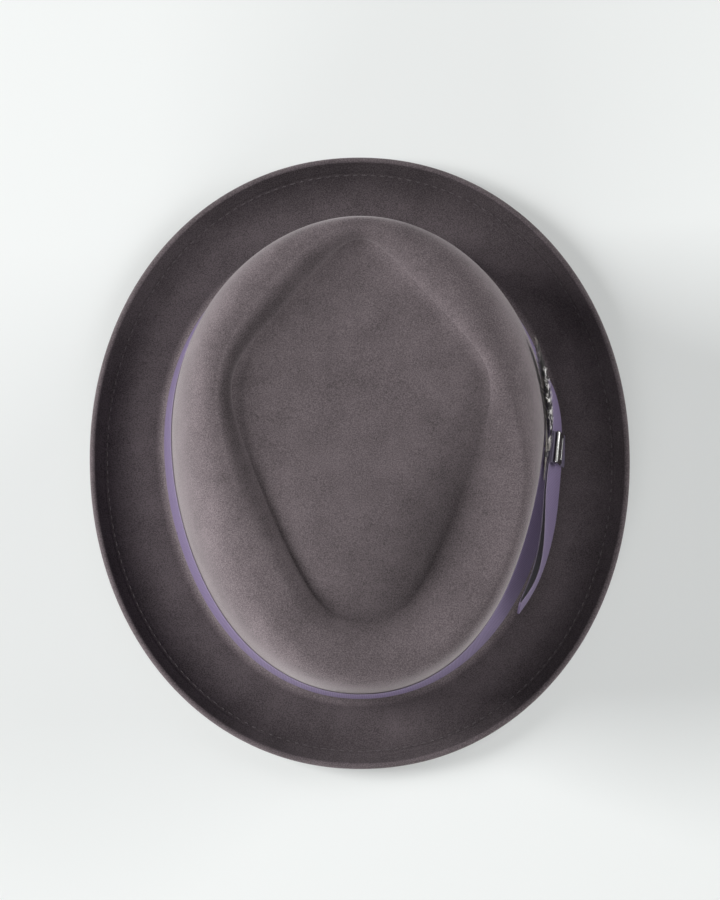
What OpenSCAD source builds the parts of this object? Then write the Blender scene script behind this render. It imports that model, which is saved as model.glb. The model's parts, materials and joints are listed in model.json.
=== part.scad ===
/* [Head fitting] */
// Width of the head opening inside the sweatband
head_w = 170.5; // [162:0.5:176]
// Length of the head opening inside the sweatband
head_l = 205.5; // [198:0.5:212]
// How much wider the opening is behind the ears than in front of them
head_egg = 0.074; // [0:0.002:0.1]
// Thickness of the leather sweatband
sweat_t = 1; // [0.8:0.1:1.4]
// Height of the sweatband
sweat_h = 46; // [38:1:50]

/* [Felt] */
// Thickness of the felt
felt_t = 2.2; // [1.6:0.1:2.8]
// Thickness of the doubled felt along the edge of the brim
welt_t = 3.4; // [3:0.1:4.4]
// Width of the felt that is folded under at the edge
welt_w = 7.6; // [6:0.2:10]

/* [Brim] */
// Width of the brim, side to side
brim_w = 249.5; // [243:0.5:262]
// Length of the brim, front to back
brim_l = 283.5; // [277:0.5:296]
// How far the edge of the brim is turned up
brim_rise = 9; // [5:0.5:13]
// Radius of the fold between the crown and the brim
break_r = 3; // [2:0.5:5]
// Width of the flat of the brim beside the crown
brim_flat_w = 9; // [6:0.5:12]

/* [Crown] */
// Height of the ridge of the crown at the back
crown_h_back = 108; // [102:1:116]
// Height of the ridge of the crown at the front
crown_h_front = 96; // [91:1:106]
// How far each side of the crown leans in at the top of the ribbon
lean_side = 4.5; // [3:0.1:6]
// How far the back of the crown leans in at the top of the ribbon
lean_back = 3.6; // [2:0.1:5]
// How much further the side with the bow leans in there
lean_bow = 4.8; // [3.5:0.1:5.5]
// How far the front of the crown leans in at the top of the ribbon
lean_front = 1; // [0:0.1:2]
// Depth of the dent below the ridge of the crown
dent_depth = 5.5; // [4.5:0.25:7]
// Depth of the dent where the crown has sunk, at its front left
low_depth = 1.5; // [1:0.25:3]
// How far the crown has sunk there
crown_sag = 8.5; // [6:0.5:10]
// Half the width of the dent at its side corners
dent_half_w = 61.5; // [56:0.5:64]
// Distance of the side corners of the dent behind the middle
dent_corner_y = 31.5; // [25:0.5:37]
// Distance of the back corner of the dent behind the middle
dent_back_y = 99; // [93:1:101]
// Distance of the front end of the dent before the middle
dent_front_y = 75.5; // [70:0.5:79]
// How far the crown stands before the middle of the brim
crown_forward = 2; // [0:0.5:4]
// Width of the slope between the floor of the dent and the ridge
ridge_w = 17; // [15:0.5:18]
// Rise of the floor of the dent above its edge
floor_dome = 1.5; // [0.5:0.25:2.5]

/* [Ribbon] */
// Height of the ribbon
ribbon_h = 35; // [30:1:40]
// Thickness of the ribbon
ribbon_t = 0.5; // [0.3:0.1:0.7]
// Gap that a soft layer keeps from the one beneath it
fit = 0.25; // [0.25:0.05:0.35]

/* [Bow] */
// Direction of the knot of the bow from the middle of the hat
bow_angle = 3.8; // [-4:0.2:6]
// Length of the front loop
loop_front_l = 84; // [60:1:88]
// Length of the rear loop
loop_rear_l = 36; // [28:1:42]
// How far the front end of the bow stands off the crown at its top
loop_stand = 7.5; // [4:0.5:9]
// How far the two layers of the front loop stand apart
loop_open = 2; // [0.5:0.25:3]
// Width of the knot
knot_w = 16; // [12:0.5:20]

/* [Badge] */
// Width of the badge
badge_w = 14.6; // [10:0.2:15.6]
// Height of the badge
badge_h = 14; // [10:0.2:20]
// Thickness of the badge
badge_t = 1.8; // [1.4:0.1:3]
// Radius of each prong of the badge
prong_r = 0.45; // [0.4:0.05:0.6]

/* [Feather] */
// Radius of the quill
quill_r = 0.5; // [0.4:0.05:0.6]
// Length of quill that is tucked behind the bow
tuck_l = 10; // [6:0.5:12]
// Length of the feather above the ribbon
feather_l = 66; // [50:1:75]
// Width of the feather
feather_w = 13; // [9:0.5:16]
// Thickness of the feather
feather_t = 1.2; // [0.8:0.1:1.6]
// Radius of the feather's bend towards the crown
feather_bend_r = 215; // [205:5:400]

/* [Lining] */
// Thickness of the lining
lining_t = 0.5; // [0.4:0.1:0.7]
// Gap between the felt and the lining
lining_gap = 1.1; // [0.9:0.1:1.3]
// Radius of the reed in the lower edge of the sweatband
reed_r = 0.5; // [0.4:0.05:0.6]

/* [Hidden] */
felt_colour = [0.43, 0.39, 0.39];
ribbon_colour = [0.42, 0.37, 0.47];
metal_colour = [0.22, 0.21, 0.22];
leather_colour = [0.24, 0.17, 0.13];
satin_colour = [0.30, 0.26, 0.30];

// Azimuths run anticlockwise from the wearer's left, so 90 is the back of the hat.
around = 72;
fine_around = 96;
floor_power = 9;
ridge_power = 4.2;
oval_power = 2.08;
brim_power = 2.07;
foot_z = felt_t + break_r;
band_z = foot_z + ribbon_h;
lining_in = felt_t + fit + lining_t;
sweat_out = lining_in + fit;
foot_a = head_w / 2 + sweat_t + sweat_out;
foot_b = head_l / 2 + sweat_t + sweat_out;

// Radius of an oval at azimuth a, with half-axes u and v
function oval(a, u, v, p) = pow(pow(abs(cos(a)) / u, p) + pow(abs(sin(a)) / v, p), -1 / p);
// The head oval is wider behind than in front
function egg(a) = 1 + head_egg * sin(a) * pow(cos(a), 2);
function mix(u, v, t) = u + (v - u) * t;
function unit(v) = v / norm(v);
// Point at azimuth a and radius r from the middle of the crown
function polar(a, r, z) = [r * cos(a), r * sin(a) - crown_forward, z];

// Radius of the felt's outer face on the straight wall of the crown
function lean_end(a) = mix(lean_front, lean_back, (1 + sin(a)) / 2);
function even_r(a, z) = egg(a) * oval(a,
    foot_a - lean_side * (z - foot_z) / ribbon_h,
    foot_b - lean_end(a) * (z - foot_z) / ribbon_h, oval_power);
// The wall leans in further about the bow
lean_towards = -25;
function bowed(a) = pow(max(0, cos(a - lean_towards)), 5);
function wall_r(a, z) = even_r(a, z) - lean_bow * bowed(a) * max(0, z - foot_z) / ribbon_h;
function brim_r(a) = oval(a, brim_w / 2, brim_l / 2, brim_power) + crown_forward * sin(a);

// Point on the wall at azimuth a and height z, moved outwards by off
function wall_normal(a, z) = let (p = polar(a - 0.5, wall_r(a - 0.5, z), 0),
    q = polar(a + 0.5, wall_r(a + 0.5, z), 0)) unit([q.y - p.y, p.x - q.x, 0]);
function wall(a, z, off) = polar(a, wall_r(a, z), z) + off * wall_normal(a, z);

// The diamond is bounded by straight sides, each given by the direction that it faces and
// its distance from the middle. A high power of their sum rounds the corners.
waist_x = 0.78 * dent_half_w;
waist_y = -18;
front_half_w = 17.5;
function side(p, q) = let (n = unit([q.y - p.y, p.x - q.x])) [n.x, n.y, n * p];
dent_sides = [side([dent_half_w, dent_corner_y], [0, dent_back_y]),
    side([waist_x, waist_y], [dent_half_w, dent_corner_y]),
    side([front_half_w, -dent_front_y], [waist_x, waist_y])];
function facing(a, s, grow, p) = pow(max(0, (cos(a) * s[0] + sin(a) * s[1])
    / (s[2] + grow)), p);
function both(a, s, grow, p) = facing(a, s, grow, p) + facing(180 - a, s, grow, p);
function diamond(a, grow, back_grow, p) = pow(both(a, dent_sides[0], back_grow, p)
    + both(a, dent_sides[1], grow, p) + both(a, dent_sides[2], grow, p)
    + pow(max(0, -sin(a)) / (dent_front_y + grow), p), -1 / p);

// Smooth step from 0 to 1
function ease(t) = t * t * (3 - 2 * t);
// 1 where the crown has sunk, falling to 0 round its other side
sag_towards = -32;
function sunk(a) = ease(min(1, max(0, 1.1 * cos(a - sag_towards))));
function ridge_z(a) = mix(crown_h_front, crown_h_back, (1 + sin(a)) / 2) - crown_sag * sunk(a);
function valley_z(a) = ridge_z(a) - mix(dent_depth, low_depth, sunk(a));
floor_z = (crown_h_front + crown_h_back) / 2 - dent_depth + floor_dome;
// The ridge is rounder than the floor of the dent, and narrower at the back
back_share = 0.62;
function valley_r(a) = diamond(a, 0, 0, floor_power);
// Where the crown has sunk, its ridge lies out by the rim
rim_w = 8.6;
rim_share = 0.85;
// The crown is pressed in where the feather lies
press_in = 8;
function pressed(a) = pow(max(0, cos(a - 18)), 9);
function ridge_r(a) = mix(diamond(a, ridge_w, back_share * ridge_w, ridge_power),
    even_r(a, band_z) - rim_w, rim_share * sunk(a)) - press_in * pressed(a);

// One arc that leaves the floor steeply, climbs h over the distance w and ends level
function arc(w, h, t) = let (turn = 2 * atan(h / w) * (1 - t), r = (w * w + h * h) / (2 * h))
    [w - r * sin(turn), h - r * (1 - cos(turn))];
function bez(p, q, r, s, t) = p * pow(1 - t, 3) + 3 * q * t * pow(1 - t, 2)
    + 3 * r * t * t * (1 - t) + s * pow(t, 3);

// The outer face of the felt at azimuth a, from the middle of the crown to the brim's edge.
floor_steps = 5;
slope_steps = 6;
shoulder_steps = 9;
wall_steps = 3;
break_steps = 4;
brim_steps = 9;
shoulder_out = [0.55, 0.97];
shoulder_up = [0.65, 0.9];
shoulder_lean = [0.2, -0.1];
// The floor of the dent lies level and falls away close to its edge
fall = [0.3, 0.58, 0.78, 0.91, 1];
fall_power = 4;
// The shoulder is full at the back and front and where the crown has sunk. Elsewhere it slopes.
function shoulder(a, t) = let (top = polar(a, ridge_r(a), ridge_z(a)),
        low = wall(a, band_z, 0),
        full = max(pow(abs(sin(a)), 3), sunk(a)) * (1 - pressed(a)),
        dir = low - wall(a, foot_z, 0),
        lean_in = mix(shoulder_lean[0], shoulder_lean[1], full),
        up = mix(shoulder_up[0], shoulder_up[1], full) * (ridge_z(a) - band_z) / ribbon_h,
        out = [low.x - top.x, low.y - top.y, 0])
    bez(top, top + mix(shoulder_out[0], shoulder_out[1], full) * out,
        low + up * [lean_in * dir.x, lean_in * dir.y, dir.z],
        low, t);
// The upper face ends this far inside the rounded edge
edge_back = 0.8 * welt_t;
function brim_out(a, r) = (r - wall_r(a, foot_z) - break_r - brim_flat_w)
    / (brim_r(a) - wall_r(a, foot_z) - break_r - brim_flat_w);
function brim_z(a, r) = felt_t + brim_rise * pow(max(0, brim_out(a, r)), 2.4);
function brim_point(a, j) = let (start = wall_r(a, foot_z) + break_r,
        r = j <= 2 ? start + brim_flat_w * j / 2
            : mix(start + brim_flat_w, brim_r(a) - edge_back, (j - 2) / (brim_steps - 2)))
    polar(a, r, brim_z(a, r));
function outer_line(a) = [
    for (u = fall) polar(a, valley_r(a) * u, mix(floor_z, valley_z(a), pow(u, fall_power))),
    for (j = [1:slope_steps])
        let (p = arc(ridge_r(a) - valley_r(a), ridge_z(a) - valley_z(a), j / slope_steps))
        polar(a, valley_r(a) + p.x, valley_z(a) + p.y),
    for (j = [1:shoulder_steps]) shoulder(a, j / shoulder_steps),
    for (j = [1:wall_steps]) wall(a, mix(band_z, foot_z, j / wall_steps), 0),
    for (j = [1:break_steps]) let (t = 90 * j / break_steps)
        polar(a, wall_r(a, foot_z) + break_r * (1 - cos(t)), felt_t + break_r * (1 - sin(t))),
    for (j = [1:brim_steps]) brim_point(a, j)];
edge_at = floor_steps + slope_steps + shoulder_steps + wall_steps + break_steps + brim_steps;
flat_from = edge_at - brim_steps;
flat_to = flat_from + 2;

function grid(n) = [for (i = [0:n - 1]) outer_line(360 * i / n)];
function wrap(i, n) = (i + n) % n;
// Direction that the felt's outer face points in, at line i and step j of a grid
function face_dir(g, n, i, j) = j >= flat_from - 1 && j <= flat_to - 1 ? [0, 0, 1]
    : let (along = g[wrap(i + 1, n)][j] - g[wrap(i - 1, n)][j],
        down = g[i][min(j + 1, edge_at - 1)] - g[i][max(j - 1, 0)])
    unit(cross(down, along));
function felt_at(g, n, i, j) = let (w = norm(g[i][j] - g[i][edge_at - 1]))
    (j >= flat_to && w < welt_w) ? welt_t : felt_t;

// A closed skin over rings of points, with a pole at each end
function poles_faces(n, m) = concat(
    [for (i = [0:n - 1]) [n * m, wrap(i + 1, n) * m, i * m]],
    [for (i = [0:n - 1], j = [0:m - 2]) let (k = wrap(i + 1, n))
        each [[i * m + j, k * m + j, k * m + j + 1], [i * m + j, k * m + j + 1, i * m + j + 1]]],
    [for (i = [0:n - 1]) [n * m + 1, i * m + m - 1, wrap(i + 1, n) * m + m - 1]]);
module skin_poles(lines, first, last) {
    n = len(lines);
    m = len(lines[0]);
    polyhedron(points = concat([for (l = lines) each l], [first, last]),
        faces = poles_faces(n, m));
}
// A closed skin over cross-sections, as a ring or as a strip with flat ends
module skin(rows, ring = false) {
    n = len(rows);
    m = len(rows[0]);
    last = ring ? n - 1 : n - 2;
    sides = [for (i = [0:last], j = [0:m - 1])
        let (k = wrap(i + 1, n), l = wrap(j + 1, m))
        each [[i * m + j, k * m + l, i * m + l], [i * m + j, k * m + j, k * m + l]]];
    ends = ring ? [] : [[for (j = [0:m - 1]) j], [for (j = [m - 1:-1:0]) (n - 1) * m + j]];
    polyhedron(points = [for (r = rows) each r], faces = concat(sides, ends));
}

module felt_body() {
    g = grid(around);
    lines = [for (i = [0:around - 1]) let (
            dirs = [for (j = [0:edge_at - 1]) face_dir(g, around, i, j)],
            e = edge_at - 1,
            rim = unit(cross(dirs[e], cross([g[i][e].x, g[i][e].y, 0], dirs[e]))))
        concat(g[i],
            [for (t = [45:45:135]) g[i][e] - dirs[e] * welt_t / 2 * (1 - cos(t))
                + rim * welt_t / 2 * sin(t)],
            [for (j = [e:-1:0]) g[i][j] - dirs[j] * felt_at(g, around, i, j)])];
    middle = polar(0, 0, floor_z);
    color(felt_colour) skin_poles(lines, middle, middle - [0, 0, felt_t]);
}

// Stitches along the fold of the brim's edge
stitch_l = 2.4;
stitch_pitch = 4.2;
stitch_d = 0.5;
stitch_lift = fit + 0.2;
module welt_stitching() {
    run = PI * (brim_w + brim_l) / 2 - 2 * PI * welt_w;
    n = round(run / stitch_pitch);
    color([0.55, 0.51, 0.51])
        for (i = [0:n - 1]) {
            a = 360 * i / n;
            r = brim_r(a) - welt_w - stitch_d;
            translate(polar(a, r, brim_z(a, r) + stitch_d / 2 + stitch_lift))
                rotate([0, 0, a + 90 + 8 * sin(2 * a)])
                    cube([stitch_l, stitch_d, stitch_d], center = true);
        }
}

// A strip of ribbon on the wall of the crown. Each point of its path is a distance along the
// wall from the bow's knot, and a distance out from the felt.
wall_mm = 360 / (PI * (foot_a + foot_b));
function path_dir(p, i) = unit(p[min(i + 1, len(p) - 1)] - p[max(i - 1, 0)]);
function strip_edge(p, i, t, z) = let (d = path_dir(p, i) * t / 2,
        u = p[i] + [-d.y, d.x], v = p[i] - [-d.y, d.x])
    [wall(bow_angle + u.x * wall_mm, z, u.y), wall(bow_angle + v.x * wall_mm, z, v.y)];
// The upper edge may follow a path of its own
module strip(path, t, z0, z1, upper = undef) {
    top = is_undef(upper) ? path : upper;
    skin([for (i = [0:len(path) - 1]) let (low = strip_edge(path, i, t, z0),
        high = strip_edge(top, i, t, z1)) [low[0], low[1], high[1], high[0]]]);
}

band_out = fit + ribbon_t;
around_mm = 360 / wall_mm;
module hatband() {
    color(ribbon_colour)
        strip([for (i = [0:fine_around]) [mix(0.5, around_mm - 0.5, i / fine_around),
            fit + ribbon_t / 2]], ribbon_t, foot_z, band_z);
}

// Thread bars that hold the ribbon to the felt at its lower edge
tack = [0.4, 3, 0.5];
module hatband_tacks() {
    color([0.35, 0.3, 0.38])
        for (a = [60, 120, 200, 250, 290])
            translate(wall(a, foot_z + tack.y, band_out + 0.3))
                rotate([0, 0, atan2(wall_normal(a, foot_z).y, wall_normal(a, foot_z).x)])
                    cube(tack, center = true);
}

// The loops lie outside the quill
pocket = 2 * quill_r + 4 * fit;
loop_in = band_out + pocket + ribbon_t / 2;
loop_gap = ribbon_t + fit;
bow_z0 = foot_z + 0.4;
bow_z1 = band_z + 0.4;
fold_r = loop_gap / 2;
loop_steps = 18;
// The stiff front loop stands off the crown towards its fold, and further at its top than at
// its foot. Its layers stand apart furthest near the fold.
loop_skew = 3;
foot_share = 0.4;
rear_open = 0.75;
function stand(t) = ease(max(0, min(1, (t - 0.1) / 0.8)));
// A loop runs out along its outer layer, turns round the fold and comes back. It clears the
// quill near the knot and comes down to the hatband further out.
pocket_share = 0.35;
loop_drop = loop_in - band_out - fit - ribbon_t / 2;
function loop_low(t) = loop_in - loop_drop * ease(max(0, (t - pocket_share) / (1 - pocket_share)));
function loop_path(l, off, open, sgn) = let (run = l - 2) concat(
    [for (i = [0:loop_steps]) let (t = i / loop_steps) [sgn * mix(1, run, t),
        loop_low(t) + off * stand(t) + loop_gap + open * sin(180 * pow(t, loop_skew))]],
    [for (a = [60:-30:-60]) [sgn * (run + fold_r * cos(a)),
        loop_low(1) + off + fold_r + fold_r * sin(a)]],
    [for (i = [loop_steps:-1:0]) let (t = i / loop_steps) [sgn * mix(1, run, t),
        loop_low(t) + off * stand(t)]]);
module bow_front_loop() {
    color(ribbon_colour) strip(
        loop_path(loop_front_l, foot_share * loop_stand, foot_share * loop_open, -1), ribbon_t,
        bow_z0, bow_z1, loop_path(loop_front_l, loop_stand, loop_open, -1));
}
module bow_rear_loop() {
    color(ribbon_colour)
        strip(loop_path(loop_rear_l, 0, rear_open, 1), ribbon_t, bow_z0, bow_z1);
}

// The knot is a short ribbon across the middle of the bow, with the washer under it
washer_t = 0.25;
knot_out = loop_in + loop_gap + ribbon_t / 2 + washer_t + 2 * fit;
badge_z = band_z - badge_h / 2;
lean = atan((lean_side + lean_bow * bowed(bow_angle)) / ribbon_h);
prong_gap = 3;
// The badge's frame stands on the inner face of the knot, X away from the crown
module badge_frame() {
    n = wall_normal(bow_angle, badge_z);
    translate(wall(bow_angle, badge_z, knot_out)) rotate([0, 0, atan2(n.y, n.x)])
        rotate([0, -lean, 0]) children();
}
module prong_holes(r) {
    for (k = [-1, 1])
        badge_frame() translate([0, 0, k * prong_gap]) rotate([0, 90, 0])
            cylinder(h = 4, r = r, center = true, $fn = 24);
}
module bow_knot() {
    z0 = bow_z0 - 0.2;
    z1 = bow_z1 + 0.2;
    out = knot_out + ribbon_t;
    color(ribbon_colour) difference() {
        skin([for (k = [-4:4]) let (a = bow_angle + k / 8 * knot_w * wall_mm)
            [wall(a, z0, knot_out), wall(a, z1, knot_out), wall(a, z1, out), wall(a, z0, out)]]);
        prong_holes(prong_r + 0.05);
    }
}

// The plain badge has a chamfer all round its face
chamfer = 0.8;
badge_in = ribbon_t + fit;
module badge_plate() {
    color(metal_colour) badge_frame() translate([badge_in, 0, 0]) hull() {
        translate([0, -badge_w / 2, -badge_h / 2]) cube([badge_t - chamfer, badge_w, badge_h]);
        translate([0, chamfer - badge_w / 2, chamfer - badge_h / 2])
            cube([badge_t, badge_w - 2 * chamfer, badge_h - 2 * chamfer]);
    }
}
module badge_washer() {
    color(metal_colour) difference() {
        badge_frame() translate([-washer_t - fit / 2, -4, -5]) cube([washer_t, 8, 10]);
        prong_holes(prong_r + 0.05);
    }
}
// Each prong runs back from the badge and is bent over between the ends of the loops
bend_l = 2.4;
module badge_prongs() {
    reach = badge_in + washer_t + fit + prong_r;
    color(metal_colour)
        for (k = [-1, 1])
            badge_frame() translate([badge_in, 0, k * prong_gap]) union() {
                rotate([0, -90, 0]) cylinder(h = reach, r = prong_r, $fn = 24);
                translate([-reach, 0, 0]) sphere(r = prong_r, $fn = 24);
                translate([-reach, 0, 0]) rotate([k < 0 ? 180 : 0, 0, 0])
                    cylinder(h = bend_l, r = prong_r, $fn = 24);
            }
}

// The feather lies in its own frame: X along the quill, Y across, Z away from the crown. It
// bends towards the crown from its root onwards.
feather_rise = 40;
feather_hug = -2;
// How far the quill stands off the ribbon at the top
root_out = 0.65;
binding_from = 3;
root_back = 8.4;
root_angle = bow_angle - root_back * wall_mm;
module feather_frame() {
    n = wall_normal(root_angle, band_z);
    translate(wall(root_angle, band_z, band_out + fit + quill_r + root_out))
        rotate([0, 0, atan2(n.y, n.x)]) rotate([0, -lean, 0]) rotate([feather_rise, 0, 0])
            rotate([0, 0, feather_hug]) rotate([90, 0, 90]) children();
}
function bend(s) = -pow(max(0, s), 2) / (2 * feather_bend_r);
// Half the width of a vane of width w and length l at the distance s along it
function vane_half(w, l, s) = max(0.3, w / 2 * pow(sin(180 * pow(s / l, 0.75)), 0.6));
vane_steps = 14;
module vane(w, l, from, z0, t) {
    feather_frame() skin([for (i = [0:vane_steps]) let (s = l * i / vane_steps,
            x = from + s, h = vane_half(w, l, s), z = z0 + bend(x))
        [[x, h, z], [x, h, z + t], [x, -h, z + t], [x, -h, z]]]);
}
quill_end = feather_l - 4;
quill_steps = 12;
quill_sides = 10;
binding_l = 3;
vane_from = 14;
vane_z = quill_r + 0.05;
hackle_w = 0.75 * feather_w;
hackle_t = 0.8;
hackle_gap = 0.1;
down_w = 9;
down_t = 2.4;
module feather_quill() {
    color([0.75, 0.72, 0.66]) feather_frame()
        skin([for (x = [-tuck_l, for (i = [0:quill_steps]) quill_end * i / quill_steps])
            [for (k = [0:quill_sides - 1]) let (a = 360 * k / quill_sides)
                [x, quill_r * cos(a), bend(x) + quill_r * sin(a)]]]);
}
module feather_vane() {
    color([0.3, 0.28, 0.28]) vane(feather_w, feather_l - vane_from, vane_from, vane_z, feather_t);
}
module feather_hackle() {
    color([0.5, 0.48, 0.47])
        vane(hackle_w, 0.6 * feather_l, vane_from + 0.4, vane_z + feather_t + hackle_gap, hackle_t);
}
module feather_down() {
    from = binding_from + binding_l + 0.2;
    color([0.72, 0.7, 0.68]) vane(down_w, vane_from - 0.2 - from, from, vane_z + 0.05, down_t);
}
module feather_binding() {
    color([0.2, 0.18, 0.2]) feather_frame() rotate([0, 90, 0]) translate([0, 0, binding_from])
        rotate_extrude($fn = 32) translate([quill_r + 0.1, 0]) square([0.45, binding_l]);
}

// The sweatband stands inside the wall of the crown
sweat_z = 0.6;
sweat_top = sweat_z + sweat_h;
function ring_row(a, out, t, z0, z1) = [wall(a, z0, -out), wall(a, z0, -out - t),
    wall(a, z1, -out - t), wall(a, z1, -out)];
module sweatband() {
    in = sweat_out + sweat_t;
    color(leather_colour)
        skin([for (i = [0:around - 1]) let (a = 360 * i / around)
            [for (z = [sweat_z, foot_z, sweat_top]) wall(a, z, -sweat_out),
                for (z = [sweat_top, foot_z, sweat_z]) wall(a, z, -in)]], ring = true);
}

// The reed runs in a tape behind the lower edge of the sweatband
tape_t = 0.3;
reed_slack = 0.1;
tape_out = reed_r + reed_slack + tape_t;
reed_z = tape_out + 0.3;
tape_gap = 0.15;
reed_in = sweat_out - tape_out - tape_gap;
function tube_row(a, r, steps) = [for (k = [0:steps - 1])
    wall(a, reed_z - r * sin(360 * k / steps), -reed_in + r * cos(360 * k / steps))];
module sweatband_reed() {
    color([0.8, 0.8, 0.78])
        skin([for (i = [0:around - 1]) tube_row(360 * i / around, reed_r, 8)], ring = true);
}
module reed_tape() {
    slit = 40;
    bends = 5;
    turns = [for (k = [0:bends]) slit + (360 - 2 * slit) * k / bends];
    function edge(a, r, t) = wall(a, reed_z + r * cos(t), -reed_in + r * sin(t));
    color([0.25, 0.22, 0.22])
        skin([for (i = [0:around - 1]) let (a = 360 * i / around) concat(
            [for (t = turns) edge(a, tape_out, t)],
            [for (k = [bends:-1:0]) edge(a, tape_out - tape_t, turns[k])])], ring = true);
}
module sweatband_stitching() {
    run = PI * (head_w + head_l) / 2;
    n = round(run / stitch_pitch);
    color([0.6, 0.55, 0.5])
        for (i = [0:n - 1]) {
            a = 360 * i / n;
            d = wall_normal(a, 4);
            translate(wall(a, 4, -sweat_out - sweat_t - stitch_lift)) rotate([0, 0, atan2(d.y, d.x)])
                cube([stitch_d / 2, stitch_l, stitch_d], center = true);
        }
}
// A strip on the inner face of the sweatband, out is its distance from the leather
module inner_strip(a, w, z0, z1, out, t, steps = 6)
    skin([for (k = [0:steps]) ring_row(a + (k / steps - 0.5) * w * wall_mm,
        sweat_out + sweat_t + out, t, z0, z1)]);
bow_tie_z = sweat_top - 9;
module sweatband_bow() {
    color(leather_colour) {
        for (k = [-1, 1])
            inner_strip(90 + k * 8 * wall_mm, 12, bow_tie_z - 3, bow_tie_z + 3, fit, 0.8);
        inner_strip(90, 4, bow_tie_z - 2, bow_tie_z + 2, fit, 1.4);
    }
}
module size_label() {
    color([0.85, 0.83, 0.8])
        inner_strip(112, 18, sweat_z + 14, sweat_z + 26, fit, 0.3);
}

// The lining's tip hangs under the floor of the dent. Its side runs from there under the
// ridge and down the wall, and its lower edge is tucked behind the leather.
lining_around = 48;
tuck_z = sweat_top - 14;
lining_out = felt_t + lining_gap;
seam_at = floor_steps - 2;
seam_gap = 1;
side_from = floor_steps + slope_steps + 5;
side_to = floor_steps + slope_steps + shoulder_steps - 2;
function lining_line(g, i, from, to, off) =
    [for (j = [from:to]) g[i][j] - face_dir(g, lining_around, i, j) * off];
// Point beyond the seam, on the lining's way to the edge of the dent
function beyond_seam(g, i, gap, off) = let (p = lining_line(g, i, seam_at, seam_at + 1, off))
    p[0] + gap * unit(p[1] - p[0]);
function side_line(g, i, off) = concat([beyond_seam(g, i, seam_gap, off)],
    lining_line(g, i, seam_at + 1, seam_at + 1, off),
    lining_line(g, i, side_from, side_to, off));
module lining_side() {
    g = grid(lining_around);
    color(satin_colour)
        skin([for (i = [0:lining_around - 1]) let (a = 360 * i / lining_around,
                inner = side_line(g, i, lining_out + lining_t))
            concat(side_line(g, i, lining_out), [wall(a, sweat_top + 1.5, -felt_t - fit),
                wall(a, tuck_z, -felt_t - fit), wall(a, tuck_z, -lining_in),
                wall(a, sweat_top + 1.5, -lining_in)],
                [for (k = [len(inner) - 1:-1:0]) inner[k]])], ring = true);
}
module crown_sheet(off, t, to) {
    g = grid(lining_around);
    middle = polar(0, 0, floor_z - off);
    skin_poles([for (i = [0:lining_around - 1])
        concat(lining_line(g, i, 0, to, off),
            [for (p = [lining_line(g, i, 0, to, off + t)], k = [to:-1:0]) p[k]])],
        middle, middle - [0, 0, t]);
}
module lining_tip() {
    color(satin_colour) crown_sheet(lining_out, lining_t, seam_at);
}
// A piping covers the seam between the two from below
piping_r = 0.6;
piping_gap = 0.1;
module lining_piping() {
    g = grid(lining_around);
    drop = lining_out + lining_t + piping_gap + piping_r;
    color(satin_colour)
        skin([for (i = [0:lining_around - 1]) let (c = beyond_seam(g, i, seam_gap / 2, drop),
                out = unit([c.x, c.y, 0]))
            [for (k = [0:5]) c + piping_r * (out * cos(60 * k) - [0, 0, sin(60 * k)])]],
            ring = true);
}
// A clear film guards the tip of the lining
film_t = 0.3;
module tip_shield() {
    color([0.9, 0.9, 0.92, 0.3]) crown_sheet(lining_out + lining_t + fit, film_t, seam_at - 1);
}

felt_body();
welt_stitching();
hatband();
hatband_tacks();
bow_front_loop();
bow_rear_loop();
bow_knot();
badge_plate();
badge_prongs();
badge_washer();
feather_quill();
feather_vane();
feather_hackle();
feather_down();
feather_binding();
sweatband();
sweatband_reed();
reed_tape();
sweatband_stitching();
sweatband_bow();
lining_side();
lining_tip();
lining_piping();
tip_shield();
size_label();
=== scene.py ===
import json
import math
import bmesh
import bpy
import numpy as np
from mathutils import Matrix, Vector

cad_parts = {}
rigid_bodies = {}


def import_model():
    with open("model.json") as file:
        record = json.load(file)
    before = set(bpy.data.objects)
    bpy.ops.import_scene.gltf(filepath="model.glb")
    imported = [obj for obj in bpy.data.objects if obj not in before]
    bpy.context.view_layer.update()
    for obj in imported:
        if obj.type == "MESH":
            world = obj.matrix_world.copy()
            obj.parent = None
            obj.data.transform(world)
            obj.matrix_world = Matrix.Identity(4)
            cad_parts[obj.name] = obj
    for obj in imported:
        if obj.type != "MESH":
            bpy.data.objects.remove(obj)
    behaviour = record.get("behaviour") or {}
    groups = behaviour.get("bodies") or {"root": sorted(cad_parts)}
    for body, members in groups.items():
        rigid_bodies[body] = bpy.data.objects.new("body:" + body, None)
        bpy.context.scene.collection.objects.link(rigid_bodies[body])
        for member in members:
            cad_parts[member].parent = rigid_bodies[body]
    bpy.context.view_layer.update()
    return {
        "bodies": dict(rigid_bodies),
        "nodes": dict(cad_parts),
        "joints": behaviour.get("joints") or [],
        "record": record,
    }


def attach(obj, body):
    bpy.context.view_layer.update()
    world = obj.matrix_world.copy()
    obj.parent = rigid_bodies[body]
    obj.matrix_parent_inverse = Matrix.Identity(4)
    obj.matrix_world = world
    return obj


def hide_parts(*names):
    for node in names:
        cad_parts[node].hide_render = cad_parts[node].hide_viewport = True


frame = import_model()

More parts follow.
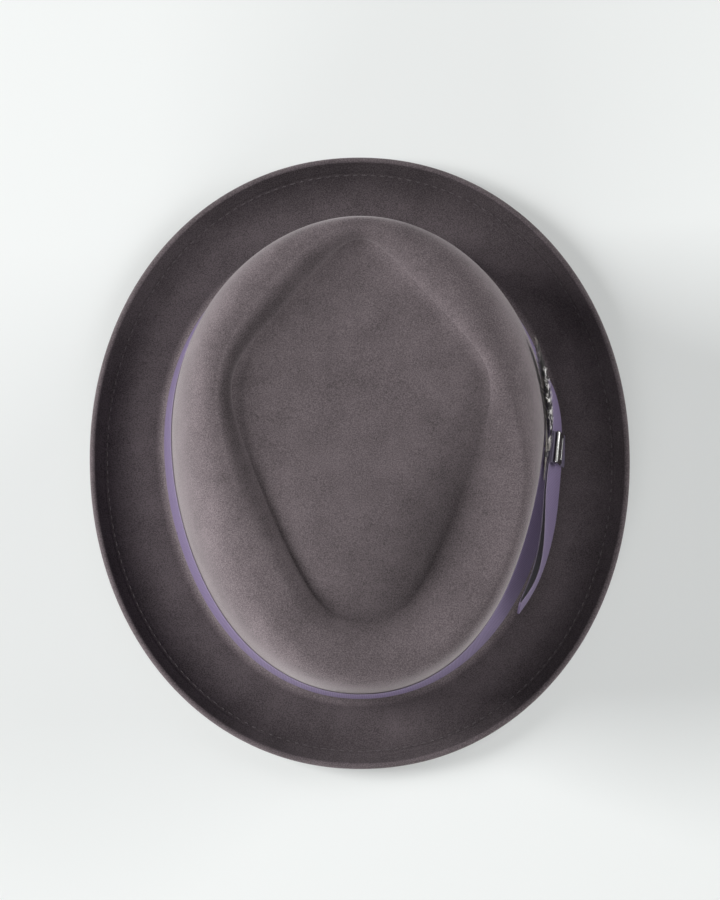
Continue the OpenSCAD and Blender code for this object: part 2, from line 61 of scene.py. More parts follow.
# Lengths are metres. +Y is the back of the hat, +X the wearer's left, z = 0 the shelf it lies on.
head = dict(width=0.1705, length=0.2055, egg=0.074)
layers = dict(felt=0.0022, fit=0.00025, lining=0.0005, leather=0.001, ribbon=0.0005)
brim = dict(width=0.2495, length=0.2835, rise=0.009, fold=0.003, flatWide=0.009,
            weltThick=0.0034, weltWide=0.0076, stitchIn=0.0005, power=2.07)
crown = dict(backHigh=0.108, frontHigh=0.096, leanSide=0.0045, leanBack=0.0036, leanFront=0.001,
             leanBow=0.0048, leanTowards=-25, pressIn=0.008, pressTowards=18,
             dentDeep=0.0055, lowDeep=0.0015, sag=0.0085, sagTowards=-32, dentHalf=0.0615,
             cornerY=0.0315, backY=0.099, frontY=0.0755, frontHalf=0.0175, waistY=-0.018,
             waistShare=0.78, forward=0.002, ridgeWide=0.017, backShare=0.62, fallPower=4,
             dome=0.0015, rimWide=0.0086, rimShare=0.85, roundOut=(0.55, 0.97),
             roundUp=(0.65, 0.9), roundLean=(0.2, -0.1))
ribbonHigh = 0.035

edgeIn = 0.8 * brim["weltThick"]  # how far the felt's even part ends inside the brim's edge
footZ = layers["felt"] + brim["fold"]
bandZ = footZ + ribbonHigh
liningIn = layers["felt"] + layers["fit"] + layers["lining"]
leatherOut = liningIn + layers["fit"]
footHalfX = head["width"] / 2 + layers["leather"] + leatherOut
footHalfY = head["length"] / 2 + layers["leather"] + leatherOut
aroundLong = math.pi * (footHalfX + footHalfY)  # the ribbon's girth
turnPerMetre = math.tau / aroundLong


def mix(low, high, t):
    return low + (high - low) * t


def ease(t):
    return t * t * (3 - 2 * t)


def unit(v):
    return v / np.maximum(np.linalg.norm(v, axis=-1, keepdims=True), 1e-12)


def around(count):
    return np.linspace(0, math.tau, count, endpoint=False)


def runAlong(path):
    steps = np.linalg.norm(np.diff(path, axis=0), axis=1)
    return np.concatenate([[0], np.cumsum(steps)])


def sideways(path):  # to the left of a flat path
    dirs = unit(np.gradient(path, axis=0))
    return np.stack([-dirs[:, 1], dirs[:, 0]], -1)


def oval(a, halfX, halfY, power):
    return ((abs(np.cos(a)) / halfX) ** power + (abs(np.sin(a)) / halfY) ** power) ** (-1 / power)


def place(a, r, z):  # azimuth in radians from the wearer's left, anticlockwise
    a, r, z = np.broadcast_arrays(a, r, z)
    return np.stack([r * np.cos(a), r * np.sin(a) - crown["forward"], z], -1)


def towards(a, degrees, power):
    return np.maximum(0, np.cos(a - math.radians(degrees))) ** power


def evenRadius(a, z):
    up = (z - footZ) / ribbonHigh
    egg = 1 + head["egg"] * np.sin(a) * np.cos(a) ** 2
    leanEnd = mix(crown["leanFront"], crown["leanBack"], (1 + np.sin(a)) / 2)
    return egg * oval(a, footHalfX - crown["leanSide"] * up, footHalfY - leanEnd * up, 2.08)


def wallRadius(a, z):  # it leans in further about the bow
    more = crown["leanBow"] * towards(a, crown["leanTowards"], 5)
    return evenRadius(a, z) - more * np.maximum(0, z - footZ) / ribbonHigh


def wallNormal(a, z):
    step = math.radians(0.5)
    run = place(a + step, wallRadius(a + step, z), z) - place(a - step, wallRadius(a - step, z), z)
    return unit(np.stack([run[..., 1], -run[..., 0], 0 * run[..., 0]], -1))


def onWall(a, z, out):
    a, z, out = np.broadcast_arrays(a, z, out)
    return place(a, wallRadius(a, z), z) + out[..., None] * wallNormal(a, z)


def brimRadius(a):
    edge = oval(a, brim["width"] / 2, brim["length"] / 2, brim["power"])
    return edge + crown["forward"] * np.sin(a)


# The diamond of the dent: three sides each way and a short front, rounded by a power.
corners = [(crown["dentHalf"], crown["cornerY"]), (0, crown["backY"]),
           (crown["waistShare"] * crown["dentHalf"], crown["waistY"]),
           (crown["frontHalf"], -crown["frontY"])]


def dentSide(p, q):
    n = unit(np.array([q[1] - p[1], p[0] - q[0]], float))
    return n[0], n[1], n[0] * p[0] + n[1] * p[1]


dentSides = [dentSide(corners[p], corners[q]) for p, q in ((0, 1), (2, 0), (3, 2))]
middleZ = (crown["frontHigh"] + crown["backHigh"]) / 2 - crown["dentDeep"] + crown["dome"]


def diamond(a, grow, backGrow, power):
    total = np.maximum(0, -np.sin(a)) ** power / (crown["frontY"] + grow) ** power
    for (nx, ny, far), more in zip(dentSides, (backGrow, grow, grow)):
        for way in (1, -1):
            facing = np.maximum(0, way * np.cos(a) * nx + np.sin(a) * ny)
            total = total + (facing / (far + more)) ** power
    return total ** (-1 / power)


def lowSide(a):  # 1 where the crown sits lowest, at its front left
    return ease(np.minimum(1, 1.1 * towards(a, crown["sagTowards"], 1)))


def pressed(a):  # 1 where the crown is pressed in behind the feather
    return towards(a, crown["pressTowards"], 9)


def ridgeHigh(a):
    even = mix(crown["frontHigh"], crown["backHigh"], (1 + np.sin(a)) / 2)
    return even - crown["sag"] * lowSide(a)


def crownPoint(a, part, t):
    inner = diamond(a, 0, 0, 9)
    outer = mix(diamond(a, crown["ridgeWide"], crown["backShare"] * crown["ridgeWide"], 4.2),
                evenRadius(a, bandZ) - crown["rimWide"], crown["rimShare"] * lowSide(a))
    outer = outer - crown["pressIn"] * pressed(a)
    topZ = ridgeHigh(a)
    lowZ = topZ - mix(crown["dentDeep"], crown["lowDeep"], lowSide(a))
    if part == "floor":
        return place(a, inner * t, mix(middleZ, lowZ, t ** crown["fallPower"]))
    if part == "slope":  # one arc that leaves the floor steeply and is level at the ridge
        w, h = outer - inner, topZ - lowZ
        turn, radius = 2 * np.arctan(h / w) * (1 - t), (w * w + h * h) / (2 * h)
        return place(a, outer - radius * np.sin(turn), topZ - radius * (1 - np.cos(turn)))
    if part == "shoulder":
        top, low = place(a, outer, topZ), onWall(a, bandZ, 0.0)
        full = np.maximum(np.abs(np.sin(a)) ** 3, lowSide(a)) * (1 - pressed(a))
        rise = low - onWall(a, footZ, 0.0)
        up = (mix(*crown["roundUp"], full) * (topZ - bandZ) / ribbonHigh)[..., None]
        leanIn = mix(*crown["roundLean"], full)[..., None]
        out = (low - top) * np.array([1, 1, 0])
        q = top + mix(*crown["roundOut"], full)[..., None] * out
        s = low + up * np.concatenate([leanIn * rise[..., :2], rise[..., 2:]], -1)
        left = 1 - t
        return top * left ** 3 + 3 * q * t * left ** 2 + 3 * s * t * t * left + low * t ** 3
    if part == "wall":
        return onWall(a, mix(bandZ, footZ, t), 0.0)
    turn = t * math.pi / 2  # the fold between the crown and the brim
    return place(a, wallRadius(a, footZ) + brim["fold"] * (1 - np.cos(turn)),
                 layers["felt"] + brim["fold"] * (1 - np.sin(turn)))


def brimPoint(a, t):
    start = wallRadius(a, footZ) + brim["fold"]
    r = mix(start, brimRadius(a) - edgeIn, t)
    out = (r - start - brim["flatWide"]) / (brimRadius(a) - start - brim["flatWide"])
    return place(a, r, layers["felt"] + brim["rise"] * np.maximum(0, out) ** 2.4)


def addPiece(name, data):
    piece = bpy.data.objects.new(name, data)
    bpy.context.scene.collection.objects.link(piece)
    return piece


def makeMesh(name, verts, faces, edges=()):
    mesh = bpy.data.meshes.new(name)
    mesh.from_pydata(np.asarray(verts, float).reshape(-1, 3).tolist(), edges, faces)
    mesh.polygons.foreach_set("use_smooth", [True] * len(mesh.polygons))
    mesh.update()
    return addPiece(name, mesh)


def ringFaces(rows, cols, ringRows, ringCols):
    faces = []
    for i in range(rows if ringRows else rows - 1):
        k = (i + 1) % rows
        for j in range(cols if ringCols else cols - 1):
            l = (j + 1) % cols
            faces.append((i * cols + j, i * cols + l, k * cols + l, k * cols + j))
    return faces


def tubeFaces(rows, cols):  # a closed section carried along, capped at both ends
    return ringFaces(rows, cols, False, True) + [tuple(reversed(range(cols))),
                                                 tuple((rows - 1) * cols + j for j in range(cols))]


def bowlMesh(name, lines, offs):  # its lines run between two poles below the crown's middle
    rows, cols = lines.shape[:2]
    poles = [[0, -crown["forward"], middleZ - off] for off in offs]
    faces = ringFaces(rows, cols, True, False)
    faces += [(rows * cols, i * cols, (i + 1) % rows * cols) for i in range(rows)]
    faces += [(rows * cols + 1, (i + 1) % rows * cols + cols - 1, i * cols + cols - 1)
              for i in range(rows)]
    return makeMesh(name, np.concatenate([lines.reshape(-1, 3), poles]), faces)


def setValues(piece, name, values, kind="FLOAT"):
    attribute = piece.data.attributes.new(name, kind, "POINT")
    key = "vector" if kind == "FLOAT_VECTOR" else "value"
    attribute.data.foreach_set(key, np.asarray(values, np.float32).ravel())


def paint(piece, material):
    piece.data.materials.clear()
    piece.data.materials.append(material)


def outward(piece):
    form = bmesh.new()
    form.from_mesh(piece.data)
    bmesh.ops.recalc_face_normals(form, faces=form.faces)
    form.to_mesh(piece.data)
    form.free()
    return piece


def finish(piece, cadNode, body, material=None):
    if material:
        paint(piece, material)
    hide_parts(cadNode)
    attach(piece, body)
    return piece


def joinPieces(pieces):
    with bpy.context.temp_override(active_object=pieces[0], selected_editable_objects=pieces):
        bpy.ops.object.join()
    return pieces[0]


# Nodes for both shaders and geometry: inputs are given by name or number
def fill(tree, made, inputs):
    for key, value in inputs.items():
        if isinstance(value, bpy.types.Node):
            value = value.outputs[0]
        if isinstance(value, bpy.types.NodeSocket):
            tree.links.new(value, made.inputs[key])
        else:
            made.inputs[key].default_value = value
    return made


def node(tree, kind, inputs=None, **settings):
    made = tree.nodes.new(kind)
    for key, value in settings.items():
        setattr(made, key, value)
    return fill(tree, made, inputs or {})


def calc(tree, operation, *values, clamp=False):
    return node(tree, "ShaderNodeMath", dict(enumerate(values)), operation=operation,
                use_clamp=clamp)


def times(tree, *values):
    return calc(tree, "MULTIPLY", *values)


def vector(tree, x=0.0, y=0.0, z=0.0):
    return node(tree, "ShaderNodeCombineXYZ", {"X": x, "Y": y, "Z": z})


def wave(tree, value, pitch):  # once up and down in each pitch
    return calc(tree, "SINE", times(tree, calc(tree, "DIVIDE", value, pitch), math.tau))


def blend(tree, share, low, high):
    return node(tree, "ShaderNodeMix", {"Factor": share, 6: low, 7: high},
                data_type="RGBA").outputs[2]


def remap(tree, value, low=0.0, high=1.0, toLow=0.0, toHigh=1.0):
    return node(tree, "ShaderNodeMapRange", {"Value": value, "From Min": low, "From Max": high,
                                             "To Min": toLow, "To Max": toHigh})


def noise(tree, at, scale, detail, roughness=0.5):
    return node(tree, "ShaderNodeTexNoise", {"Vector": at, "Scale": scale, "Detail": detail,
                                             "Roughness": roughness})


def bump(tree, height, strength, distance):
    return node(tree, "ShaderNodeBump", {"Height": height, "Strength": strength,
                                         "Distance": distance})


def objectPlace(tree):
    return node(tree, "ShaderNodeTexCoord").outputs["Object"]


def stored(tree, name):  # in a shader, the value that setValues or a geometry tree gave
    return node(tree, "ShaderNodeAttribute", attribute_name=name).outputs["Fac"]


def named(tree, name, kind="FLOAT"):  # in a geometry tree, the same
    return node(tree, "GeometryNodeInputNamedAttribute", {"Name": name}, data_type=kind)


def newMaterial(name):
    material = bpy.data.materials.new(name)
    material.use_nodes = True
    return material, material.node_tree, material.node_tree.nodes["Principled BSDF"]


socketKinds = {float: "Float", int: "Int", tuple: "Color"}


def newGroup(name, kind, inputs, outputs):  # an input without a value is called by its kind
    tree = bpy.data.node_groups.new(name, kind)
    for label, value in inputs.items():
        kind = "NodeSocket" + socketKinds.get(type(value), label)
        socket = tree.interface.new_socket(label, in_out="INPUT", socket_type=kind)
        if value is not None:
            socket.default_value = value
    for label, kind in outputs.items():
        tree.interface.new_socket(label, in_out="OUTPUT", socket_type="NodeSocket" + kind)
    return tree, tree.nodes.new("NodeGroupInput").outputs, tree.nodes.new("NodeGroupOutput")


def newTree(name, **inputs):
    return newGroup(name, "GeometryNodeTree", dict(Geometry=None, **inputs, Material=None),
                    dict(Geometry="Geometry"))


def closeTree(tree, given, result, geometry):
    real = node(tree, "GeometryNodeRealizeInstances", {"Geometry": geometry})
    done = node(tree, "GeometryNodeSetMaterial", {"Geometry": real, "Material": given["Material"]})
    fill(tree, result, {"Geometry": done})
    return tree


def applyTree(piece, tree, values):
    name = piece.name
    modifier = piece.modifiers.new(tree.name, "NODES")
    modifier.node_group = tree
    for item in tree.interface.items_tree:
        if item.in_out == "INPUT" and item.name in values:
            modifier[item.identifier] = values[item.name]
    graph = bpy.context.evaluated_depsgraph_get()
    mesh = bpy.data.meshes.new_from_object(piece.evaluated_get(graph), depsgraph=graph,
                                           preserve_all_data_layers=True)
    made = addPiece(name, mesh)
    bpy.data.objects.remove(piece)
    made.name = name
    return made


# Camera: almost above the hat, a little to its front
view = dict(place=(-0.0168, -0.1487, 1.75), aim=(0.00015, 0.0058, 0), turn=0.009, focal=3784.7,
            pixelsHigh=900, sensor=36)
camera = addPiece("camera", bpy.data.cameras.new("camera"))
bpy.context.scene.camera = camera
camera.data.sensor_width = view["sensor"]
camera.data.lens = view["focal"] * view["sensor"] / view["pixelsHigh"]
camera.data.clip_start, camera.data.clip_end = 0.05, 20
ahead = (Vector(view["aim"]) - Vector(view["place"])).normalized()
right = Vector((1, 0, 0)) - ahead * ahead.x
right.normalize()
up = right.cross(ahead)
spin = math.cos(view["turn"]), math.sin(view["turn"])
camRight, camUp = spin[0] * right - spin[1] * up, spin[1] * right + spin[0] * up
camera.matrix_world = Matrix.Translation(view["place"]) @ Matrix(
    (camRight, camUp, -ahead)).transposed().to_4x4()
print("camera ready")


# Shader groups
def newLook(name, **inputs):
    return newGroup(name, "ShaderNodeTree", dict(inputs, Dark=(0.1, 0.1, 0.1, 1),
                                                 Light=(0.2, 0.2, 0.2, 1)),
                    dict(Color="Color", Height="Float"))


def closeLook(tree, given, result, amount, height):
    colour = blend(tree, amount, given["Dark"], given["Light"])
    fill(tree, result, {"Color": colour, "Height": height})
    return tree


def mottleGroup():
    tree, given, result = newLook("woolMottle", Vector=None, Grain=1400.0, Cloud=60.0)
    fine = noise(tree, given["Vector"], given["Grain"], 3.0, 0.65)
    wide = noise(tree, given["Vector"], given["Cloud"], 4.0, 0.6)
    amount = calc(tree, "ADD", remap(tree, fine, 0.36, 0.64),
                  remap(tree, wide, 0.3, 0.7, -0.2, 0.2), clamp=True)
    return closeLook(tree, given, result, amount, fine)


def weaveGroup():  # ribs across a ribbon, from its distance along and its place across
    tree, given, result = newLook("ribbonWeave", Along=0.0, Across=0.0, Pitch=0.0007,
                                  Thread=0.00035)
    rib = wave(tree, given["Along"], given["Pitch"])
    thread = wave(tree, given["Across"], given["Thread"])
    height = calc(tree, "MULTIPLY_ADD", times(tree, rib, thread), 0.3, rib)
    amount = remap(tree, height, -1.0)
    return closeLook(tree, given, result, amount, amount)


woolMottle, ribbonWeave = mottleGroup(), weaveGroup()


def mottled(tree, dark, light, **scales):
    return node(tree, "ShaderNodeGroup", {"Vector": objectPlace(tree), "Dark": dark, "Light": light,
                                          **scales}, node_tree=woolMottle).outputs


def grey(level, tint=(1, 0.83, 0.885)):
    return (level * tint[0], level * tint[1], level * tint[2], 1)


def feltMaterial(name, dark, light, paintedSheen):  # the felt is darkened by its stored share of painted shade and darker tone, and lightened at grazing views by a painted sheen
    material, tree, shader = newMaterial(name)
    wool = mottled(tree, dark, light, Grain=1900.0)
    # the wool colour darkened by the share of painted shade and darker tone
    pressed = blend(tree, stored(tree, "darker"), wool["Color"], (0, 0, 0, 1))
    grain = bump(tree, wool["Height"], 0.35, 0.0003)
    # at grazing views the colour is mixed towards a lighter colour: a painted sheen
    facing = node(tree, "ShaderNodeLayerWeight", {"Blend": 0.5, "Normal": grain}).outputs["Facing"]
    share = times(tree, calc(tree, "POWER", facing, 6.0), 0.7)
    fill(tree, shader, {"Base Color": blend(tree, share, pressed, paintedSheen), "Normal": grain,
                        "Roughness": 0.95, "Specular IOR Level": 0.1, "Sheen Weight": 0.15,
                        "Sheen Roughness": 0.45, "Sheen Tint": (1, 0.95, 0.96, 1)})
    return material


def plainMaterial(name, colour, roughness, grain=900.0, change=0.25, sheen=0.0, coat=0.0):
    material, tree, shader = newMaterial(name)
    dark = tuple(c * (1 - change) for c in colour)
    wool = mottled(tree, (*dark, 1), (*colour, 1), Grain=grain)
    fill(tree, shader, {"Base Color": wool["Color"], "Roughness": roughness,
                        "Normal": bump(tree, wool["Height"], 0.4, 0.0001), "Sheen Weight": sheen,
                        "Coat Weight": coat})
    return material


def ribbonMaterial(name, dark, light, edge, pitch):
    material, tree, shader = newMaterial(name)
    weave = node(tree, "ShaderNodeGroup", {"Along": stored(tree, "along"), "Pitch": pitch,
                                           "Across": stored(tree, "across"), "Dark": dark,
                                           "Light": light}, node_tree=ribbonWeave).outputs
    face = blend(tree, stored(tree, "selvedge"), weave["Color"], edge)
    # the loops' inner faces are painted near-black: painted shade inside the loops
    colour = blend(tree, stored(tree, "paintedShadeSide"), face, (0.012, 0.008, 0.016, 1))
    fill(tree, shader, {"Base Color": colour, "Normal": bump(tree, weave["Height"], 0.5, 0.00008),
                        "Roughness": 0.6, "Sheen Weight": 0.06})
    shadow = node(tree, "ShaderNodeLightPath").outputs["Is Shadow Ray"]
    thin = node(tree, "ShaderNodeMixShader", {0: times(tree, shadow, 0.85), 1: shader,
                                              2: node(tree, "ShaderNodeBsdfTransparent")})
    fill(tree, tree.nodes["Material Output"], {"Surface": thin})  # thin cloth lets light through
    return material


# the last colour is the painted sheen at grazing views
felt = feltMaterial("taupeFelt", grey(0.078), grey(0.182), (0.23, 0.205, 0.21, 1))
print("materials ready")

# Felt hood
hood = dict(around=288, floor=14, slope=22, shoulder=26, wall=5, fold=8, brim=36, rim=9)


def brimStops(count):  # closer together by the stitches
    third, half = count // 3, count // 2
    return np.concatenate([np.linspace(0, 0.7, third + 1)[1:-1], np.linspace(0.7, 0.92, half + 1),
                           np.linspace(0.92, 1, count - half - third + 1)[1:]])


def hoodLines(settings):
    a = around(settings["around"])
    rows = [crownPoint(a, part, t) for part in ("floor", "slope", "shoulder", "wall", "fold")
            for t in np.linspace(0, 1, settings[part] + 1)[1:]]
    rows += [brimPoint(a, t) for t in brimStops(settings["brim"])]
    return a, np.stack(rows, 1)


def lineNormals(g):
    along = np.roll(g, -1, 0) - np.roll(g, 1, 0)
    down = np.empty_like(g)
    down[:, 1:-1] = g[:, 2:] - g[:, :-2]
    down[:, 0], down[:, -1] = g[:, 1] - g[:, 0], g[:, -1] - g[:, -2]
    return unit(np.cross(down, along))


stitchBack = brim["weltWide"] + brim["stitchIn"] - edgeIn
groovePlan = dict(deep=0.00022, wide=0.0005)
# shares of painted shade on the felt by where they lie; middle and brim give an even darker tone
shadeAndTonePlan = dict(lowTowards=-50, leftTowards=145, middle=0.1, floor=0.42, crease=0.52, slope=0.12,
                left=0.42, shoulder=0.16, brim=0.36, brimMore=0.2, under=0.5, rim=0.15)


def feltShadeAndTone(a, shape):  # how much darker the felt is: painted shade in the creases and slopes of the dent, on the slope and ridge on the key lamp's side, on the floor towards the low front, on the brim's upturned outer band and under the brim; an even darker tone over the top and a darker brim; less on the brim's rounded edge
    share = shadeAndTonePlan
    low = towards(a, share["lowTowards"], 2)[:, None]
    left = towards(a, share["leftTowards"], 1.5)[:, None]
    at, up, over = (np.linspace(0, 1, hood[part] + 1)[1:]
                    for part in ("floor", "slope", "shoulder"))
    out = ease(np.clip((brimStops(hood["brim"]) - 0.3) / 0.6, 0, 1))
    crease = share["crease"] * low * (1 - up) ** 3 + share["slope"] * (1 - up)
    top = [share["middle"] + share["floor"] * at ** 3 * low,
           crease + share["left"] * np.sin(math.pi * up ** 0.8) * left,
           share["shoulder"] * np.maximum(0, 1 - over / 0.3) * left,
           np.zeros((len(a), hood["wall"] + hood["fold"])),
           share["brim"] + share["brimMore"] * out + 0 * low]
    top = np.concatenate(top, 1)
    count = top.shape[1]
    tone = np.zeros(shape)
    tone[:, :count] = top
    tone[:, count:hood["brim"] - count] = share["under"]
    tone[:, count:count + hood["rim"] - 1] = share["rim"]
    return tone


def makeHood():
    a, g = hoodLines(hood)
    dirs = lineNormals(g)
    last, edge = g[:, -1], dirs[:, -1]
    radial = last * np.array([1, 1, 0])
    rim = unit(np.cross(edge, np.cross(radial, edge)))
    turn = np.linspace(0, math.pi, hood["rim"] + 1)[1:-1][None, :, None]
    half = brim["weltThick"] / 2
    rounded = (last[:, None] - edge[:, None] * half * (1 - np.cos(turn))
               + rim[:, None] * half * np.sin(turn))
    back = np.linalg.norm(g - last[:, None], axis=-1)
    thick = np.where(back < brim["weltWide"], brim["weltThick"], layers["felt"])
    groove = groovePlan["deep"] * np.exp(-((back - stitchBack) / groovePlan["wide"]) ** 2)
    thick[:, :-hood["brim"]], groove[:, :-hood["brim"]] = layers["felt"], 0
    under = (g - dirs * thick[..., None])[:, ::-1]
    lines = np.concatenate([g - dirs * groove[..., None], rounded, under], 1)
    piece = bowlMesh("feltHood", lines, (0, layers["felt"]))
    # each point's share of painted shade and darker tone
    poles = [shadeAndTonePlan["middle"]] * 2
    setValues(piece, "darker", [*feltShadeAndTone(a, lines.shape[:2]).reshape(-1), *poles])
    return piece


finish(makeHood(), "felt_body", "hat", felt)
print("felt hood ready")

# Ribbons: a path along the wall gives (distance from the knot, distance out from the felt)
ribbonPlan = dict(start=3.8, ribPitch=0.00075, ribDeep=0.00005, step=0.00019, rim=0.0012)
bowTurn = math.radians(ribbonPlan["start"])
bandOut = layers["fit"] + layers["ribbon"]


def resamplePath(path, count=None):  # at even steps, or at so many points
    path = np.asarray(path, float)
    run = runAlong(path)
    at = np.linspace(0, run[-1], count or int(run[-1] / ribbonPlan["step"]) + 1)
    return at, np.stack([np.interp(at, run, path[:, k]) for k in (0, 1)], -1)


def setWeave(piece, along, across):  # for each point of a section carried along a ribbon
    middle = max(across) / 2
    inner = abs(across - middle) < middle - ribbonPlan["rim"] * 0.9
    setValues(piece, "along", np.repeat(along, len(across)))
    setValues(piece, "across", np.tile(across, len(along)))
    setValues(piece, "selvedge", np.tile(1.0 - inner, len(along)))


def ribbonPiece(name, path, lowZ, highZ, upper=None, paintedShadeSide=0):
    along, points = resamplePath(path)  # the upper edge may follow its own path
    tops = points if upper is None else resamplePath(upper, len(along))[1]
    half, rim = layers["ribbon"] / 2, ribbonPlan["rim"]
    z = [lowZ + half, lowZ + rim, highZ - rim, highZ - half]
    side = list(zip(z, (0.8, 1, 1, 0.8)))
    shares = np.array(side + [(highZ, 0)] + [(h, -share) for h, share in side[::-1]] + [(lowZ, 0)])
    rows = []
    for height, share in shares:
        line = mix(points, tops, (height - lowZ) / (highZ - lowZ))
        p = line + sideways(line) * half * share
        rows.append(onWall(bowTurn + p[:, 0] * turnPerMetre, height, p[:, 1]))
    verts = np.stack(rows, 1)
    n, m = verts.shape[:2]
    piece = makeMesh(name, verts, tubeFaces(n, m))
    setWeave(piece, along, shares[:, 0] - lowZ)
    # which side of a loop is painted near-black as the shade inside it
    setValues(piece, "paintedShadeSide", np.tile(np.maximum(0, paintedShadeSide * shares[:, 1]), n))
    return piece


def ribTree():  # raises a rib across the ribbon at each pitch
    tree, given, result = newTree("grosgrainRibs", Pitch=0.001, Deep=0.0001)
    share = remap(tree, named(tree, "selvedge"), toLow=1.0, toHigh=0.5)
    lift = times(tree, wave(tree, named(tree, "along"), given["Pitch"]),
                 times(tree, share, given["Deep"]))
    offset = node(tree, "ShaderNodeVectorMath", {0: node(tree, "GeometryNodeInputNormal"),
                                                 "Scale": lift}, operation="SCALE")
    moved = node(tree, "GeometryNodeSetPosition", {"Geometry": given["Geometry"], "Offset": offset})
    return closeTree(tree, given, result, moved)


grosgrain = ribbonMaterial("lavenderGrosgrain", (0.08, 0.057, 0.12, 1), (0.168, 0.124, 0.232, 1),
                           (0.165, 0.133, 0.2, 1), ribbonPlan["ribPitch"])
# the knot is painted near-black: painted shade about the badge
knotShadeGrosgrain = ribbonMaterial("knotPaintedShade", (0.03, 0.022, 0.044, 1), (0.065, 0.05, 0.09, 1),
                               (0.06, 0.048, 0.08, 1), ribbonPlan["ribPitch"])
ribs = ribTree()


def finishRibbon(piece, cadNode, cloth=grosgrain):
    made = applyTree(piece, ribs, {"Pitch": ribbonPlan["ribPitch"], "Deep": ribbonPlan["ribDeep"],
                                   "Material": cloth})
    finish(made, cadNode, "hat")


bandLine = [(x, layers["fit"] + layers["ribbon"] / 2) for x in (0.0005, aroundLong - 0.0005)]
finishRibbon(ribbonPiece("hatbandRibbon", bandLine, footZ, bandZ), "hatband")

# Bow
bow = dict(frontLong=0.084, rearLong=0.036, stand=0.0075, open=0.002, footShare=0.4,
           rearOpen=0.00075, skew=3, pocketShare=0.35)
quillRadius = 0.0005
pocket = 2 * quillRadius + 4 * layers["fit"]
loopIn = bandOut + pocket + layers["ribbon"] / 2
loopGap = layers["ribbon"] + layers["fit"]
bowLow, bowHigh = footZ + 0.0004, bandZ + 0.0004


def loopPath(long, stand, opened, way):  # it stands off the crown towards its fold
    run = long - 0.002
    drop = loopIn - bandOut - layers["fit"] - layers["ribbon"] / 2
    t = np.linspace(0, 1, 60)
    low = loopIn - drop * ease(np.maximum(0, (t - bow["pocketShare"]) / (1 - bow["pocketShare"])))
    low = low + stand * ease(np.clip((t - 0.1) / 0.8, 0, 1))
    x = way * mix(0.001, run, t)
    outer = np.stack([x, low + loopGap + opened * np.sin(math.pi * t ** bow["skew"])], -1)
    turn = np.radians(np.arange(75, -76, -15))
    fold = np.stack([way * (run + loopGap / 2 * np.cos(turn)),
                     low[-1] + loopGap / 2 * (1 + np.sin(turn))], -1)
    return np.concatenate([outer, fold, np.stack([x, low], -1)[::-1]])


def finishLoop(name, cadNode, long, way, foot, top):  # foot and top: how far it stands and opens
    loop = ribbonPiece(name, loopPath(long, *foot, way), bowLow, bowHigh,
                       loopPath(long, *top, way), -way)
    finishRibbon(loop, cadNode)


frontTop = np.array([bow["stand"], bow["open"]])
rearBoth = (0, bow["rearOpen"])
finishLoop("bowFrontLoop", "bow_front_loop", bow["frontLong"], -1, bow["footShare"] * frontTop,
           frontTop)
finishLoop("bowRearLoop", "bow_rear_loop", bow["rearLong"], 1, rearBoth, rearBoth)
print("ribbon and bow ready")


# Threads and barbs are set out along a line of edges
def spacedCurve(tree, given):
    curve = node(tree, "GeometryNodeMeshToCurve", {"Mesh": given["Geometry"]})
    return node(tree, "GeometryNodeResampleCurve", {"Curve": curve, "Length": given["Pitch"]},
                mode="LENGTH")


def curveTurn(tree):  # X along the curve and Z towards its "up" attribute
    along = node(tree, "FunctionNodeAlignRotationToVector",
                 {"Vector": node(tree, "GeometryNodeInputTangent")}, axis="X")
    return node(tree, "FunctionNodeAlignRotationToVector",
                {"Rotation": along, "Vector": named(tree, "up", "FLOAT_VECTOR")}, axis="Z",
                pivot_axis="X")


def drawn(tree, low, high, seed):  # a random value for each point
    return node(tree, "FunctionNodeRandomValue", {2: low, 3: high, 8: seed}).outputs[1]


def instances(tree, points, piece, rotation, scale):
    return node(tree, "GeometryNodeInstanceOnPoints", {"Points": points, "Instance": piece,
                                                       "Rotation": rotation, "Scale": scale})


def stitchTree():
    tree, given, result = newTree("stitchRow", Pitch=0.004, Long=0.0024, Thick=0.0005, Seed=1)
    ball = node(tree, "GeometryNodeMeshUVSphere", {"Segments": 10, "Rings": 8, "Radius": 0.5})
    smooth = node(tree, "GeometryNodeSetShadeSmooth", {"Geometry": ball})
    reach = times(tree, given["Long"], drawn(tree, 0.8, 1.1, given["Seed"]))
    threads = instances(tree, spacedCurve(tree, given), smooth, curveTurn(tree),
                        vector(tree, reach, given["Thick"], given["Thick"]))
    return closeTree(tree, given, result, threads)


def linePiece(name, points, ups, closed):  # the line, with the way up at each point
    count = len(points)
    edges = [(i, (i + 1) % count) for i in range(count if closed else count - 1)]
    piece = makeMesh(name, points, [], edges)
    setValues(piece, "up", ups, "FLOAT_VECTOR")
    return piece


def tube(name, path, radius, sides):
    path, radius = np.asarray(path, float), np.broadcast_to(radius, len(path))
    dirs = unit(np.gradient(path, axis=0))
    side = unit(np.cross(dirs, np.array([0.3, 0.1, 1.0])))
    other = np.cross(dirs, side)
    turn = around(sides)[None, :, None]
    ring = side[:, None] * np.cos(turn) + other[:, None] * np.sin(turn)
    verts = path[:, None] + radius[:, None, None] * ring
    return outward(makeMesh(name, verts, tubeFaces(len(path), sides)))


